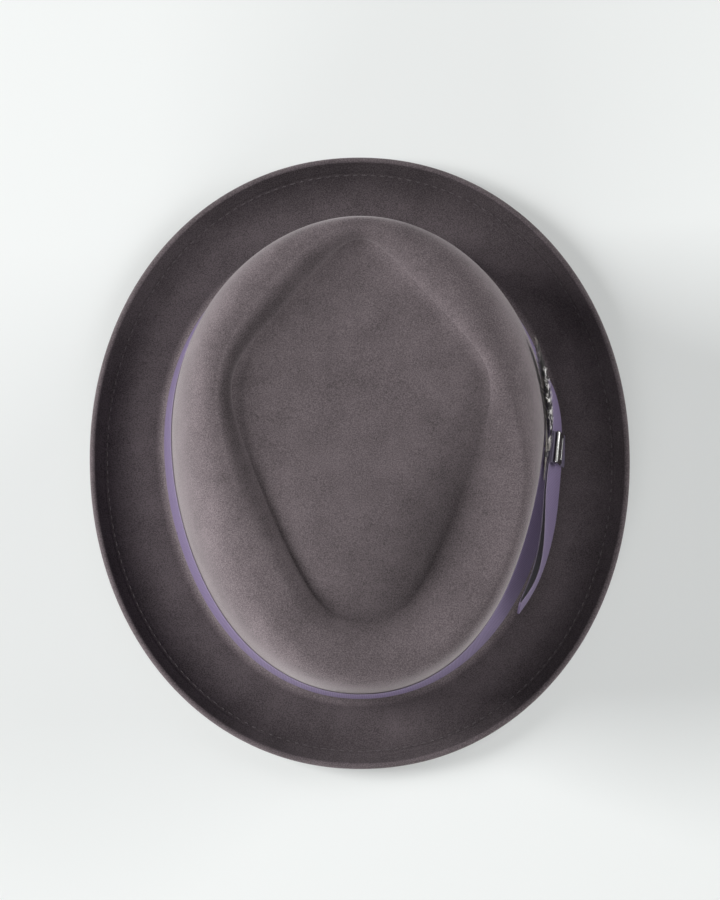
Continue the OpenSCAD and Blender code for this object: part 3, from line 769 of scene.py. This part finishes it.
stitchRow = stitchTree()
feltThread = plainMaterial("feltThread", (0.085, 0.07, 0.075), 0.9, grain=3000.0, sheen=0.2)
ribbonThread = plainMaterial("ribbonThread", (0.12, 0.092, 0.165), 0.8, grain=3000.0)
leatherThread = plainMaterial("leatherThread", (0.33, 0.27, 0.2), 0.7, grain=3000.0)
stitch = dict(long=0.0024, pitch=0.0042, thick=0.00042, lift=0.0001)
tack = dict(azimuths=(60, 120, 200, 250, 290), apart=0.0035, low=0.0016, high=0.0044,
            radius=0.00004, bulge=0.00012, points=9)


def stitches(name, line, ups, thick, seed, material):
    return applyTree(linePiece(name, line, ups, True), stitchRow,
                     {"Pitch": stitch["pitch"], "Long": stitch["long"], "Thick": thick,
                      "Seed": seed, "Material": material})


turnRound = around(720)
rowStart = wallRadius(turnRound, footZ) + brim["fold"]
rowShare = ((brimRadius(turnRound) - brim["weltWide"] - brim["stitchIn"] - rowStart)
            / (brimRadius(turnRound) - edgeIn - rowStart))
weltRow = brimPoint(turnRound, rowShare) + np.array([0, 0, stitch["lift"]])
acrossRow = brimPoint(turnRound, rowShare + 0.02) - brimPoint(turnRound, rowShare - 0.02)
brimUps = unit(np.cross(np.roll(weltRow, -1, 0) - weltRow, acrossRow))
brimUps *= np.sign(brimUps[:, 2:])
finish(stitches("weltStitches", weltRow, brimUps, stitch["thick"], 3, feltThread),
       "welt_stitching", "hat")

bars = []
bulge = tack["bulge"] * np.sin(np.linspace(0, math.pi, tack["points"]))
tackHeights = footZ + np.linspace(tack["low"], tack["high"], tack["points"])
for azimuth in np.radians(tack["azimuths"]):
    for side in (-tack["apart"], 0, tack["apart"]):
        path = onWall(azimuth + side, tackHeights, bandOut + bulge)
        bars.append(tube("bandTacks", path, tack["radius"] + bulge, 8))
finish(joinPieces(bars), "hatband_tacks", "hat", ribbonThread)

# Knot: a ribbon down the middle of the bow, turned in at its ends
knot = dict(wide=0.016, washer=0.00025, tuck=0.0013, turn=0.0006, over=0.0008)
knotOut = loopIn + loopGap + layers["ribbon"] / 2 + knot["washer"] + 2 * layers["fit"]


def makeKnot():
    lowZ, highZ, half = bowLow - knot["over"], bowHigh + knot["over"], layers["ribbon"] / 2
    quarter = np.radians(np.arange(0, 91, 15))
    r = knot["turn"]
    ends = [(r * math.sin(q), half - r + r * math.cos(q)) for q in quarter]
    ends += [(ends[-1][0], half - r - knot["tuck"] * part) for part in (0.5, 1)]
    straight = np.arange(lowZ + half + r, highZ - half - r, ribbonPlan["step"])
    path = np.array([(lowZ + half + r - z, out) for z, out in ends[::-1]]
                    + [(z, half) for z in straight]
                    + [(highZ - half - r + z, out) for z, out in ends])
    along = runAlong(path)
    wide, rim = knot["wide"] / 2, ribbonPlan["rim"]
    across = np.array([-wide, -wide + half, -wide + rim, -wide * 0.4, 0, wide * 0.4, wide - rim,
                       wide - half, wide])
    share = np.array([0, 0.8, 1, 1, 1, 1, 1, 0.8, 0])
    sections = np.stack([np.append(across, across[-2:0:-1]), np.append(share, -share[-2:0:-1])], -1)
    rows = []
    for x, side in sections:
        p = path - sideways(path) * half * side
        rows.append(onWall(bowTurn + x * turnPerMetre, p[:, 0], p[:, 1] + knotOut))
    verts = np.stack(rows, 1)
    piece = outward(makeMesh("bowKnot", verts, tubeFaces(*verts.shape[:2])))
    setWeave(piece, along, sections[:, 0] + wide)
    return piece, along[-1]


bowKnot, knotLong = makeKnot()
# the knot in its near-black colour: painted shade
finishRibbon(bowKnot, "bow_knot",
             knotShadeGrosgrain)

# Badge: a plain plate with a rounded rim and a sunk field
badge = dict(wide=0.0146, high=0.014, thick=0.0018, corner=0.0013)
leanAtBow = crown["leanSide"] + crown["leanBow"] * towards(bowTurn, crown["leanTowards"], 5)
leanTurn = math.atan(leanAtBow / ribbonHigh)


def badgePoint(x, y, z):  # X away from the crown, Y along it, Z up
    badgeZ = bandZ - badge["high"] / 2
    n = wallNormal(bowTurn, badgeZ)
    frame = Matrix.Rotation(math.atan2(n[1], n[0]), 4, "Z") @ Matrix.Rotation(-leanTurn, 4, "Y")
    base = Vector(onWall(bowTurn, badgeZ, knotOut).tolist())
    return tuple(base + frame @ Vector((x, y, z)))


def makeBadge():  # each level: its inset from the outline, and its distance from the back
    back, thick = layers["ribbon"] + layers["fit"], badge["thick"]
    field = thick - 0.00038
    levels = [(0.0003, 0), (0, 0.0002), (0, 0.00095), (0.0001, 0.00125), (0.00035, 0.00155),
              (0.0007, thick - 0.00003), (0.0009, thick), (0.0019, thick),
              (0.00205, thick - 0.00004), (0.00225, thick - 0.0003), (0.0024, field),
              (0.0045, field)]
    quarter = np.linspace(0, math.pi / 2, 7)
    verts = []
    for inset, x in levels:
        halfY, halfZ = badge["wide"] / 2 - inset, badge["high"] / 2 - inset
        r = max(badge["corner"] - inset * 0.6, 0.0004)
        for k, (sy, sz) in enumerate(((1, 1), (-1, 1), (-1, -1), (1, -1))):
            for turn in quarter + k * math.pi / 2:
                verts.append(badgePoint(back + x, sy * (halfY - r) + r * math.cos(turn),
                                        sz * (halfZ - r) + r * math.sin(turn)))
    count = 4 * len(quarter)
    piece = outward(makeMesh("badgePlate", verts, tubeFaces(len(levels), count)))
    setValues(piece, "worn", np.repeat([0, 0, 0.2, 0.7, 1, 0.6, 0.3, 0.3, 0.7, 0.3, 0, 0], count))
    return piece


def metalMaterial(name, dark, light, bare):
    material, tree, shader = newMaterial(name)
    at = objectPlace(tree)
    lines = node(tree, "ShaderNodeMapping", {"Vector": at, "Scale": (300, 300, 9000)})
    brushed = noise(tree, lines, 1.0, 4.0)
    worn = calc(tree, "MULTIPLY", stored(tree, "worn"), noise(tree, at, 700.0, 5.0), clamp=True)
    fill(tree, shader, {"Base Color": blend(tree, worn, blend(tree, brushed, dark, light), bare),
                        "Roughness": remap(tree, brushed, toLow=0.14, toHigh=0.26),
                        "Normal": bump(tree, brushed, 0.15, 0.00003), "Metallic": 1.0})
    return material


gunmetal = metalMaterial("gunmetal", (0.1, 0.095, 0.1, 1), (0.24, 0.23, 0.235, 1),
                         (0.75, 0.74, 0.72, 1))
finish(makeBadge(), "badge_plate", "hat", gunmetal)
for cadName in ("badge_prongs", "badge_washer"):
    paint(frame["nodes"][cadName], gunmetal)
print("stitches, knot and badge ready")

# Feather: S runs along the quill from the top of the ribbon, Y across, Z away from the crown
feather = dict(long=0.066, wide=0.013, bend=0.215, rise=40, hug=-2, stand=0.00065, tuck=0.010,
               back=0.0084, vaneFrom=0.014, bindFrom=0.003, bindLong=0.003)
rootTurn = bowTurn - feather["back"] * turnPerMetre
rootNormal = wallNormal(rootTurn, bandZ)
rootOut = bandOut + layers["fit"] + quillRadius + feather["stand"]
featherFrame = (Matrix.Translation(onWall(rootTurn, bandZ, rootOut).tolist())
                @ Matrix.Rotation(math.atan2(rootNormal[1], rootNormal[0]), 4, "Z")
                @ Matrix.Rotation(-leanTurn, 4, "Y")
                @ Matrix.Rotation(math.radians(feather["rise"]), 4, "X")
                @ Matrix.Rotation(math.radians(feather["hug"]), 4, "Z")
                @ Matrix(((0, 0, 1, 0), (1, 0, 0, 0), (0, 1, 0, 0), (0, 0, 0, 1))))
featherTurn, featherRoot = np.array(featherFrame.to_3x3()), np.array(featherFrame.translation)


def featherAt(s, y, z):
    s, y, z = np.broadcast_arrays(s, y, z)
    bent = z - np.maximum(0, s) ** 2 / (2 * feather["bend"])
    return np.stack([s, y, bent], -1) @ featherTurn.T + featherRoot


quillRun = np.linspace(-feather["tuck"], feather["long"] - 0.004, 70)
quillThick = np.interp(quillRun, [-feather["tuck"], -feather["tuck"] + 0.002, 0.01, 0.062],
                       [0.0003, 0.00048, 0.00048, 0.00012])
horn = plainMaterial("quillHorn", (0.3, 0.27, 0.24), 0.35, grain=500.0, change=0.35, coat=0.3)
finish(tube("featherQuill", featherAt(quillRun, 0, 0), quillThick, 12), "feather_quill", "feather",
       horn)

wind = dict(turns=9, radius=0.00083, thick=0.00019)
windTurns = np.linspace(0, wind["turns"] * math.tau, wind["turns"] * 20)
windRun = feather["bindFrom"] + feather["bindLong"] * (0.08 + 0.84 * windTurns / windTurns[-1])
windLine = featherAt(windRun, wind["radius"] * np.cos(windTurns),
                     wind["radius"] * np.sin(windTurns))
finish(tube("featherBinding", windLine, wind["thick"], 7), "feather_binding", "feather",
       plainMaterial("bindingThread", (0.05, 0.042, 0.05), 0.7, grain=4000.0, sheen=0.3))


def barbShape(tree, given):  # a strip one unit long that tapers, droops and curls
    strip = node(tree, "GeometryNodeMeshGrid", {"Size X": 1.0, "Size Y": 1.0, "Vertices X": 7,
                                                "Vertices Y": 2})
    shift = node(tree, "GeometryNodeTransform", {"Geometry": strip, "Translation": (0.5, 0, 0)})
    at = node(tree, "ShaderNodeSeparateXYZ", {"Vector": node(tree, "GeometryNodeInputPosition")})
    x, y = at.outputs["X"], at.outputs["Y"]
    drop = times(tree, calc(tree, "POWER", x, 2.0), given["Droop"])
    curl = times(tree, calc(tree, "SINE", times(tree, x, 9.0)), given["Curl"])
    narrow = times(tree, y, remap(tree, x, toLow=1.0, toHigh=0.25))
    shaped = vector(tree, x, narrow, calc(tree, "SUBTRACT", curl, drop))
    bent = node(tree, "GeometryNodeSetPosition", {"Geometry": shift, "Position": shaped})
    return node(tree, "GeometryNodeStoreNamedAttribute", {"Geometry": bent, "Name": "barbAt",
                                                          "Value": x})


def barbTree():
    tree, given, result = newTree("featherBarbs", Pitch=0.0003, Angle=0.6, Width=0.0004, Droop=0.1,
                                  Spread=0.1, Curl=0.0, Seed=1)
    points, barb, turned = spacedCurve(tree, given), barbShape(tree, given), curveTurn(tree)
    both = node(tree, "GeometryNodeJoinGeometry")
    for side in (1.0, -1.0):
        seed = calc(tree, "ADD", given["Seed"], 10.0 * side)
        tilt = times(tree, drawn(tree, -1.0, 1.0, seed), given["Spread"])
        sway = drawn(tree, 0.85, 1.15, seed)
        turn = vector(tree, 0.0, tilt, times(tree, times(tree, given["Angle"], sway), side))
        rotated = node(tree, "FunctionNodeRotateRotation",
                       {"Rotation": turned,
                        "Rotate By": node(tree, "FunctionNodeEulerToRotation", {"Euler": turn})},
                       rotation_space="LOCAL")
        long = times(tree, named(tree, "reach"), drawn(tree, 0.82, 1.06, seed))
        barbs = instances(tree, points, barb, rotated, vector(tree, long, given["Width"], long))
        toned = node(tree, "GeometryNodeStoreNamedAttribute", {"Geometry": barbs, "Name": "tone",
                                                               "Value": sway}, domain="INSTANCE")
        tree.links.new(toned.outputs[0], both.inputs[0])
    return closeTree(tree, given, result, both)


def barbMaterial(name, dark, light, spotSize, spots):
    material, tree, shader = newMaterial(name)
    patch = noise(tree, objectPlace(tree), spotSize, 2.0)
    total = calc(tree, "ADD", remap(tree, patch, 0.62 - spots, 0.66 - spots),
                 remap(tree, stored(tree, "tone"), 0.85, 1.15, -0.12, 0.12))
    amount = calc(tree, "SUBTRACT", total, times(tree, stored(tree, "barbAt"), 0.25), clamp=True)
    fill(tree, shader, {"Base Color": blend(tree, amount, dark, light), "Roughness": 0.6,
                        "Specular IOR Level": 0.25})
    return material


featherBarbs = barbTree()


def barbPiece(name, cadNode, start, end, wide, z, longer, material, values):
    s = np.linspace(start, end, 60)
    share = (s - start) / (end - start)
    swell = np.sin(math.pi * np.minimum(share ** 0.75, 0.97)) ** 0.6
    points = featherAt(s, 0, z)
    piece = linePiece(name, points, np.broadcast_to(featherTurn[:, 2], points.shape), False)
    setValues(piece, "reach", longer * np.maximum(0.0006, wide / 2 * swell))
    made = applyTree(piece, featherBarbs, dict(values, Material=material))
    finish(made, cadNode, "feather")


vaneZ = quillRadius + 0.00005
barbPiece("featherVane", "feather_vane", feather["vaneFrom"],
          feather["long"] - 0.001, feather["wide"], vaneZ + 0.0006, 1.45,
          barbMaterial("darkBarbs", (0.022, 0.019, 0.02, 1), (0.12, 0.1, 0.095, 1), 260.0, 0.08),
          dict(Pitch=0.00026, Angle=0.62, Width=0.00048, Droop=0.04, Spread=0.07, Seed=11))
barbPiece("featherHackle", "feather_hackle", feather["vaneFrom"] + 0.0006,
          feather["vaneFrom"] + 0.6 * feather["long"], 0.75 * feather["wide"], vaneZ + 0.0017, 1.35,
          barbMaterial("spottedBarbs", (0.016, 0.013, 0.014, 1), (0.9, 0.87, 0.85, 1), 330.0, 0.1),
          dict(Pitch=0.00032, Angle=0.7, Width=0.00045, Droop=-0.06, Spread=0.12, Seed=23))
barbPiece("featherDown", "feather_down",
          feather["bindFrom"] + feather["bindLong"] + 0.0004, feather["vaneFrom"] - 0.0004, 0.009,
          vaneZ + 0.0009, 1.1,
          barbMaterial("paleDown", (0.4, 0.37, 0.35, 1), (0.8, 0.77, 0.74, 1), 300.0, 0.15),
          dict(Pitch=0.00011, Angle=0.95, Width=0.00011, Droop=-0.05, Spread=0.28, Curl=0.07,
               Seed=31))
print("feather ready")

# Inside: rings that follow the wall, each a section of (distance in from the felt's face, height)
inside = dict(leatherLow=0.0006, leatherHigh=0.0466, around=240, liningGap=0.0011, tuck=0.014,
              over=0.0015, seamGap=0.001, seamShort=0.012, seamHigh=0.004, threadThick=0.00045,
              pleats=58, pleatDeep=0.0011)


def leatherMaterial(name, dark, light):
    material, tree, shader = newMaterial(name)
    cells = node(tree, "ShaderNodeTexVoronoi", {"Vector": objectPlace(tree), "Scale": 900.0},
                 feature="DISTANCE_TO_EDGE")
    pores = remap(tree, cells, high=0.25)
    wool = mottled(tree, dark, light, Grain=250.0, Cloud=25.0)
    fill(tree, shader, {"Base Color": blend(tree, pores, dark, wool["Color"]),
                        "Normal": bump(tree, pores, 0.4, 0.00006), "Roughness": 0.45,
                        "Coat Weight": 0.15})
    return material


def satinMaterial(name, dark, light):
    material, tree, shader = newMaterial(name)
    wool = mottled(tree, dark, light, Grain=1500.0, Cloud=30.0)
    threads = node(tree, "ShaderNodeTexWave", {"Vector": objectPlace(tree), "Scale": 900.0,
                                               "Distortion": 1.5, "Detail": 2.0}, wave_type="BANDS")
    fill(tree, shader, {"Base Color": wool["Color"], "Roughness": 0.36, "Sheen Weight": 0.35,
                        "Normal": bump(tree, threads.outputs["Fac"], 0.2, 0.00004)})
    return material


leather = leatherMaterial("sweatLeather", (0.05, 0.027, 0.016, 1), (0.13, 0.072, 0.042, 1))
satin = satinMaterial("liningSatin", (0.05, 0.037, 0.05, 1), (0.12, 0.093, 0.12, 1))


def bandSection(near, thick, low, high, steps):
    r = thick / 2
    turns = np.radians([150, 120, 90, 60, 30])
    top = [(near + r + r * math.cos(t), high - r + r * math.sin(t)) for t in turns]
    end = [(near + r + r * math.cos(t), low + r - r * math.sin(t)) for t in turns[::-1]]
    z = np.linspace(low + r, high - r, steps)
    return [(near, v) for v in z] + top + [(near + thick, v) for v in z[::-1]] + end


def wallRing(name, section, material):
    a = around(inside["around"])
    verts = np.stack([onWall(a, z, -depth) for depth, z in section], 1)
    piece = outward(makeMesh(name, verts, ringFaces(len(a), len(section), True, True)))
    paint(piece, material)
    return piece


sweatSection = bandSection(leatherOut, layers["leather"], inside["leatherLow"],
                           inside["leatherHigh"], 14)
sweatband = wallRing("sweatLeather", sweatSection, leather)
finish(sweatband, "sweatband", "hat")
seamLine = onWall(turnRound, inside["seamHigh"],
                  -(leatherOut + layers["leather"] + stitch["lift"]))
finish(stitches("leatherStitches", seamLine, -wallNormal(turnRound, inside["seamHigh"]),
                inside["threadThick"], 7, leatherThread),
       "sweatband_stitching", "hat")

# Reed in a folded tape behind the lower edge of the leather
reed = dict(radius=0.0005, slack=0.0001, tape=0.0003, gap=0.00015, slit=40)
tapeOut = reed["radius"] + reed["slack"] + reed["tape"]
reedZ, reedIn = tapeOut + 0.0003, leatherOut - tapeOut - reed["gap"]
slit = np.radians(np.linspace(reed["slit"], 360 - reed["slit"], 15))
tapeFaces = ((tapeOut, slit), (tapeOut - reed["tape"], slit[::-1]))
tapeSection = [(reedIn - r * math.sin(t), reedZ + r * math.cos(t))
               for r, turns in tapeFaces for t in turns]
tapeCotton = plainMaterial("tapeCotton", (0.055, 0.046, 0.048), 0.9, grain=2500.0, sheen=0.3)
finish(wallRing("reedTape", tapeSection, tapeCotton), "reed_tape", "hat")
paint(frame["nodes"]["sweatband_reed"], plainMaterial("reedPlastic", (0.6, 0.58, 0.54), 0.4))


def insideStrip(name, path, half, thick, startTurn, z):  # path: (distance along, distance in)
    path = np.asarray(path, float)
    rows = []
    for share, way in ((0, 1), (0.9, 1), (1, 0.6), (1, -0.6), (0.9, -1), (0, -1), (-0.9, -1),
                       (-1, -0.6), (-1, 0.6), (-0.9, 1)):
        p = path + sideways(path) * thick / 2 * way
        rows.append(onWall(startTurn + p[:, 0] * turnPerMetre, z + share * np.asarray(half),
                           -p[:, 1]))
    return outward(makeMesh(name, np.stack(rows, 1), tubeFaces(len(path), len(rows))))


# Small bow at the back of the leather and the blank woven label beside it
innerFace = leatherOut + layers["leather"] + layers["fit"]
tie = dict(long=0.014, low=0.0017, high=0.003, thick=0.0003, deep=0.0008, swell=0.0001,
           knotHalf=0.002, knotOut=0.0011, knotHigh=0.0021, z=inside["leatherHigh"] - 0.009)
wings = []
nearOut, farOut = innerFace + tie["thick"] / 2, innerFace + tie["deep"] - tie["thick"] / 2
turn = np.radians(np.arange(-90, 91, 15))
bendR = (tie["deep"] - tie["thick"]) / 2
run = np.linspace(0.0015, tie["long"] - 0.0005, 20)
swell = tie["swell"] * np.sin(math.pi * (run - run[0]) / (run[-1] - run[0]))
for way in (1, -1):
    nearSide = np.stack([way * run, nearOut + 0 * run], -1)
    fold = np.stack([way * (run[-1] + bendR * np.cos(turn)),
                     innerFace + tie["deep"] / 2 + bendR * np.sin(turn)], -1)
    farSide = np.stack([way * run, farOut + swell], -1)[::-1]
    path = np.concatenate([nearSide[:-1], fold, farSide[1:]])
    half = np.interp(abs(path[:, 0]), [0.001, 0.011], [tie["low"], tie["high"]])
    wings.append(insideStrip("sweatBow", path, half, tie["thick"], math.pi / 2, tie["z"]))
across = np.radians(np.arange(0, 181, 15))
loop = np.stack([tie["knotHalf"] * np.cos(across),
                 nearOut + tie["knotOut"] * np.sin(across) ** 0.6], -1)
wings.append(insideStrip("sweatBow", loop, tie["knotHigh"], tie["thick"], math.pi / 2, tie["z"]))
finish(joinPieces(wings), "sweatband_bow", "hat", satin)

label = dict(wide=0.018, low=0.0146, high=0.0266, thick=0.0003, turn=112)
labelHigh = label["high"] - label["low"]
labelLine = [(x, innerFace + label["thick"] / 2)
             for x in np.linspace(-label["wide"] / 2, label["wide"] / 2, 24)]
sizeLabel = insideStrip("sizeLabel", labelLine, labelHigh / 2, label["thick"],
                        math.radians(label["turn"]), (label["high"] + label["low"]) / 2)
labelWeave = plainMaterial("labelWeave", (0.62, 0.59, 0.53), 0.8, 3500.0, 0.3, sheen=0.3)
finish(sizeLabel, "size_label", "hat", labelWeave)
print("sweatband ready")

# Lining: it follows the felt at a distance, from the same lines
liningPlan = dict(around=464, floor=11, slope=6, shoulder=9, wall=3, fold=2, brim=4)
azimuths, liningGrid = hoodLines(liningPlan)
liningNormals = lineNormals(liningGrid)
liningOut = layers["felt"] + inside["liningGap"]
seamAt, shoulderAt = 9, 22


def below(first, last, off):
    return (liningGrid - liningNormals * off)[:, first:last + 1]


def beyondSeam(gap, off):
    p = below(seamAt, seamAt + 1, off)
    return p[:, 0] + gap * unit(p[:, 1] - p[:, 0])


def makeLiningSide():
    low = [onWall(azimuths, inside["leatherHigh"] + more, -liningIn + layers["lining"])[:, None]
           for more in (inside["over"], -inside["tuck"])]
    stops = np.concatenate([beyondSeam(inside["seamGap"], liningOut)[:, None],
                            below(seamAt + 1, seamAt + 1, liningOut),
                            below(shoulderAt, shoulderAt + 2, liningOut), *low], 1)
    spans = [3, 9, 5, 5, 9, 5]
    line = [mix(stops[:, k, None], stops[:, k + 1, None], (np.arange(n) / n)[:, None])
            for k, n in enumerate(spans)]
    line = np.concatenate(line + [stops[:, -1:]], 1)
    at = np.arange(line.shape[1])
    hold = ease(np.clip((at - 3) / 6, 0, 1)) * ease(np.clip((sum(spans[:5]) - at) / 6, 0, 1))
    pleat = 0.5 - 0.5 * np.cos(inside["pleats"] * azimuths + 0.6 * np.sin(7 * azimuths))
    deep = inside["pleatDeep"] * hold[None, :] * pleat[:, None]
    line = line - lineNormals(line) * deep[..., None]
    back = (line - lineNormals(line) * layers["lining"])[:, ::-1]
    verts = np.concatenate([line, back], 1)
    piece = outward(makeMesh("liningSide", verts, ringFaces(*verts.shape[:2], True, True)))
    run = np.linalg.norm(np.diff(line, axis=1), axis=2).sum(1).max()
    edge = np.linalg.norm(np.roll(line, -1, 0) - line, axis=2).sum(0).max()
    return piece, (float(run), float(edge))


def disc(name, off, thick, last):
    top, low = below(0, last, off), below(0, last, off + thick)[:, ::-1]
    piece = outward(bowlMesh(name, np.concatenate([top, low], 1), (off, off + thick)))
    ring, middle = top[:, -1], np.array([0, -crown["forward"], middleZ - off])
    size = np.ptp(ring, axis=0)
    cuts = np.cross(ring - middle, np.roll(ring, -1, 0) - middle)
    return piece, (float(size[0]), float(size[1])), float(0.5 * np.linalg.norm(cuts, axis=1).sum())


liningSide, sideFlat = makeLiningSide()
finish(liningSide, "lining_side", "hat", satin)
liningTip, tipFlat, tipArea = disc("liningTip", liningOut, layers["lining"], seamAt)
finish(liningTip, "lining_tip", "hat", satin)

# Twisted piping over the seam, and the clear film below the tip
piping = dict(radius=0.0006, gap=0.0001, lay=0.004, sides=14, groove=0.22)
pipingOff = liningOut + layers["lining"] + piping["gap"] + piping["radius"]
pipingLine = beyondSeam(inside["seamGap"] / 2, pipingOff)
pipingDirs = unit(np.roll(pipingLine, -1, 0) - np.roll(pipingLine, 1, 0))
pipingSide = unit(np.cross(pipingDirs, [0, 0, 1.0]))
pipingUp = np.cross(pipingSide, pipingDirs)
run = runAlong(pipingLine)
twist = math.tau * round(run[-1] / piping["lay"]) * run / run[-1]
turn = around(piping["sides"])[None, :, None]
strand = 1 - piping["groove"] + piping["groove"] * abs(np.cos(turn - twist[:, None, None]))
verts = pipingLine[:, None] + piping["radius"] * strand * (
    pipingSide[:, None] * np.cos(turn) + pipingUp[:, None] * np.sin(turn))
liningPiping = outward(makeMesh("liningPiping", verts, ringFaces(*verts.shape[:2], True, True)))
finish(liningPiping, "lining_piping", "hat",
       plainMaterial("pipingCord", (0.16, 0.13, 0.16), 0.5, grain=2500.0, sheen=0.3))
film = plainMaterial("clearFilm", (0.9, 0.9, 0.92), 0.12)
fill(film.node_tree, film.node_tree.nodes["Principled BSDF"], {"Transmission Weight": 0.95,
                                                               "IOR": 1.2})
shieldOff = liningOut + layers["lining"] + layers["fit"]
finish(disc("tipShield", shieldOff, 0.0003, seamAt - 1)[0], "tip_shield", "hat", film)
print("lining ready")

# Floor and light
lightPlan = dict(pale=(0.86, 0.88, 0.872, 1), sky=0.1, floor=0.35,
                 lamps=(("key", (-3.4, 0.6, 1.5), 1.5, 195.0),
                        ("fill", (3.3, 1.3, 1.05), 2.4, 118.0),
                        ("front", (-0.9, -3.6, 0.75), 2.2, 120.0),
                        ("top", (0.1, -0.2, 3.0), 1.6, 6.0)))
floor = makeMesh("floor", [(-4, -4, 0), (4, -4, 0), (4, 4, 0), (-4, 4, 0)], [(0, 1, 2, 3)])


def seenRays(tree):  # 1 for the camera, and for what metal and film show
    rays = node(tree, "ShaderNodeLightPath").outputs
    some = calc(tree, "MAXIMUM", rays["Is Camera Ray"], rays["Is Glossy Ray"])
    return calc(tree, "MAXIMUM", some, rays["Is Transmission Ray"])


floorMaterial, tree, shader = newMaterial("paleFloor")
fill(tree, shader, {"Base Color": lightPlan["pale"], "Roughness": 1.0, "Specular IOR Level": 0.0})
glow = node(tree, "ShaderNodeEmission", {"Color": lightPlan["pale"], "Strength": 1.0})
share = times(tree, seenRays(tree), lightPlan["floor"])
pale = node(tree, "ShaderNodeMixShader", {0: share, 1: shader, 2: glow})
fill(tree, tree.nodes["Material Output"], {"Surface": pale})
paint(floor, floorMaterial)
world = bpy.data.worlds.new("studio")
bpy.context.scene.world = world
world.use_nodes = True
tree = world.node_tree
fill(tree, tree.nodes["Background"], {"Color": lightPlan["pale"],
                                      "Strength": remap(tree, seenRays(tree), 0.0, 1.0,
                                                        lightPlan["sky"], 1.0)})
for label, spot, size, power in lightPlan["lamps"]:
    lamp = bpy.data.lights.new(label, "AREA")
    lamp.shape, lamp.size, lamp.energy = "SQUARE", size, power
    light = addPiece(label, lamp)
    light.location = spot
    light.visible_camera = False
    light.rotation_euler = (-Vector(spot)).to_track_quat("-Z", "Y").to_euler()
print("floor and light ready")
bpy.context.scene.view_settings.view_transform = "Standard"
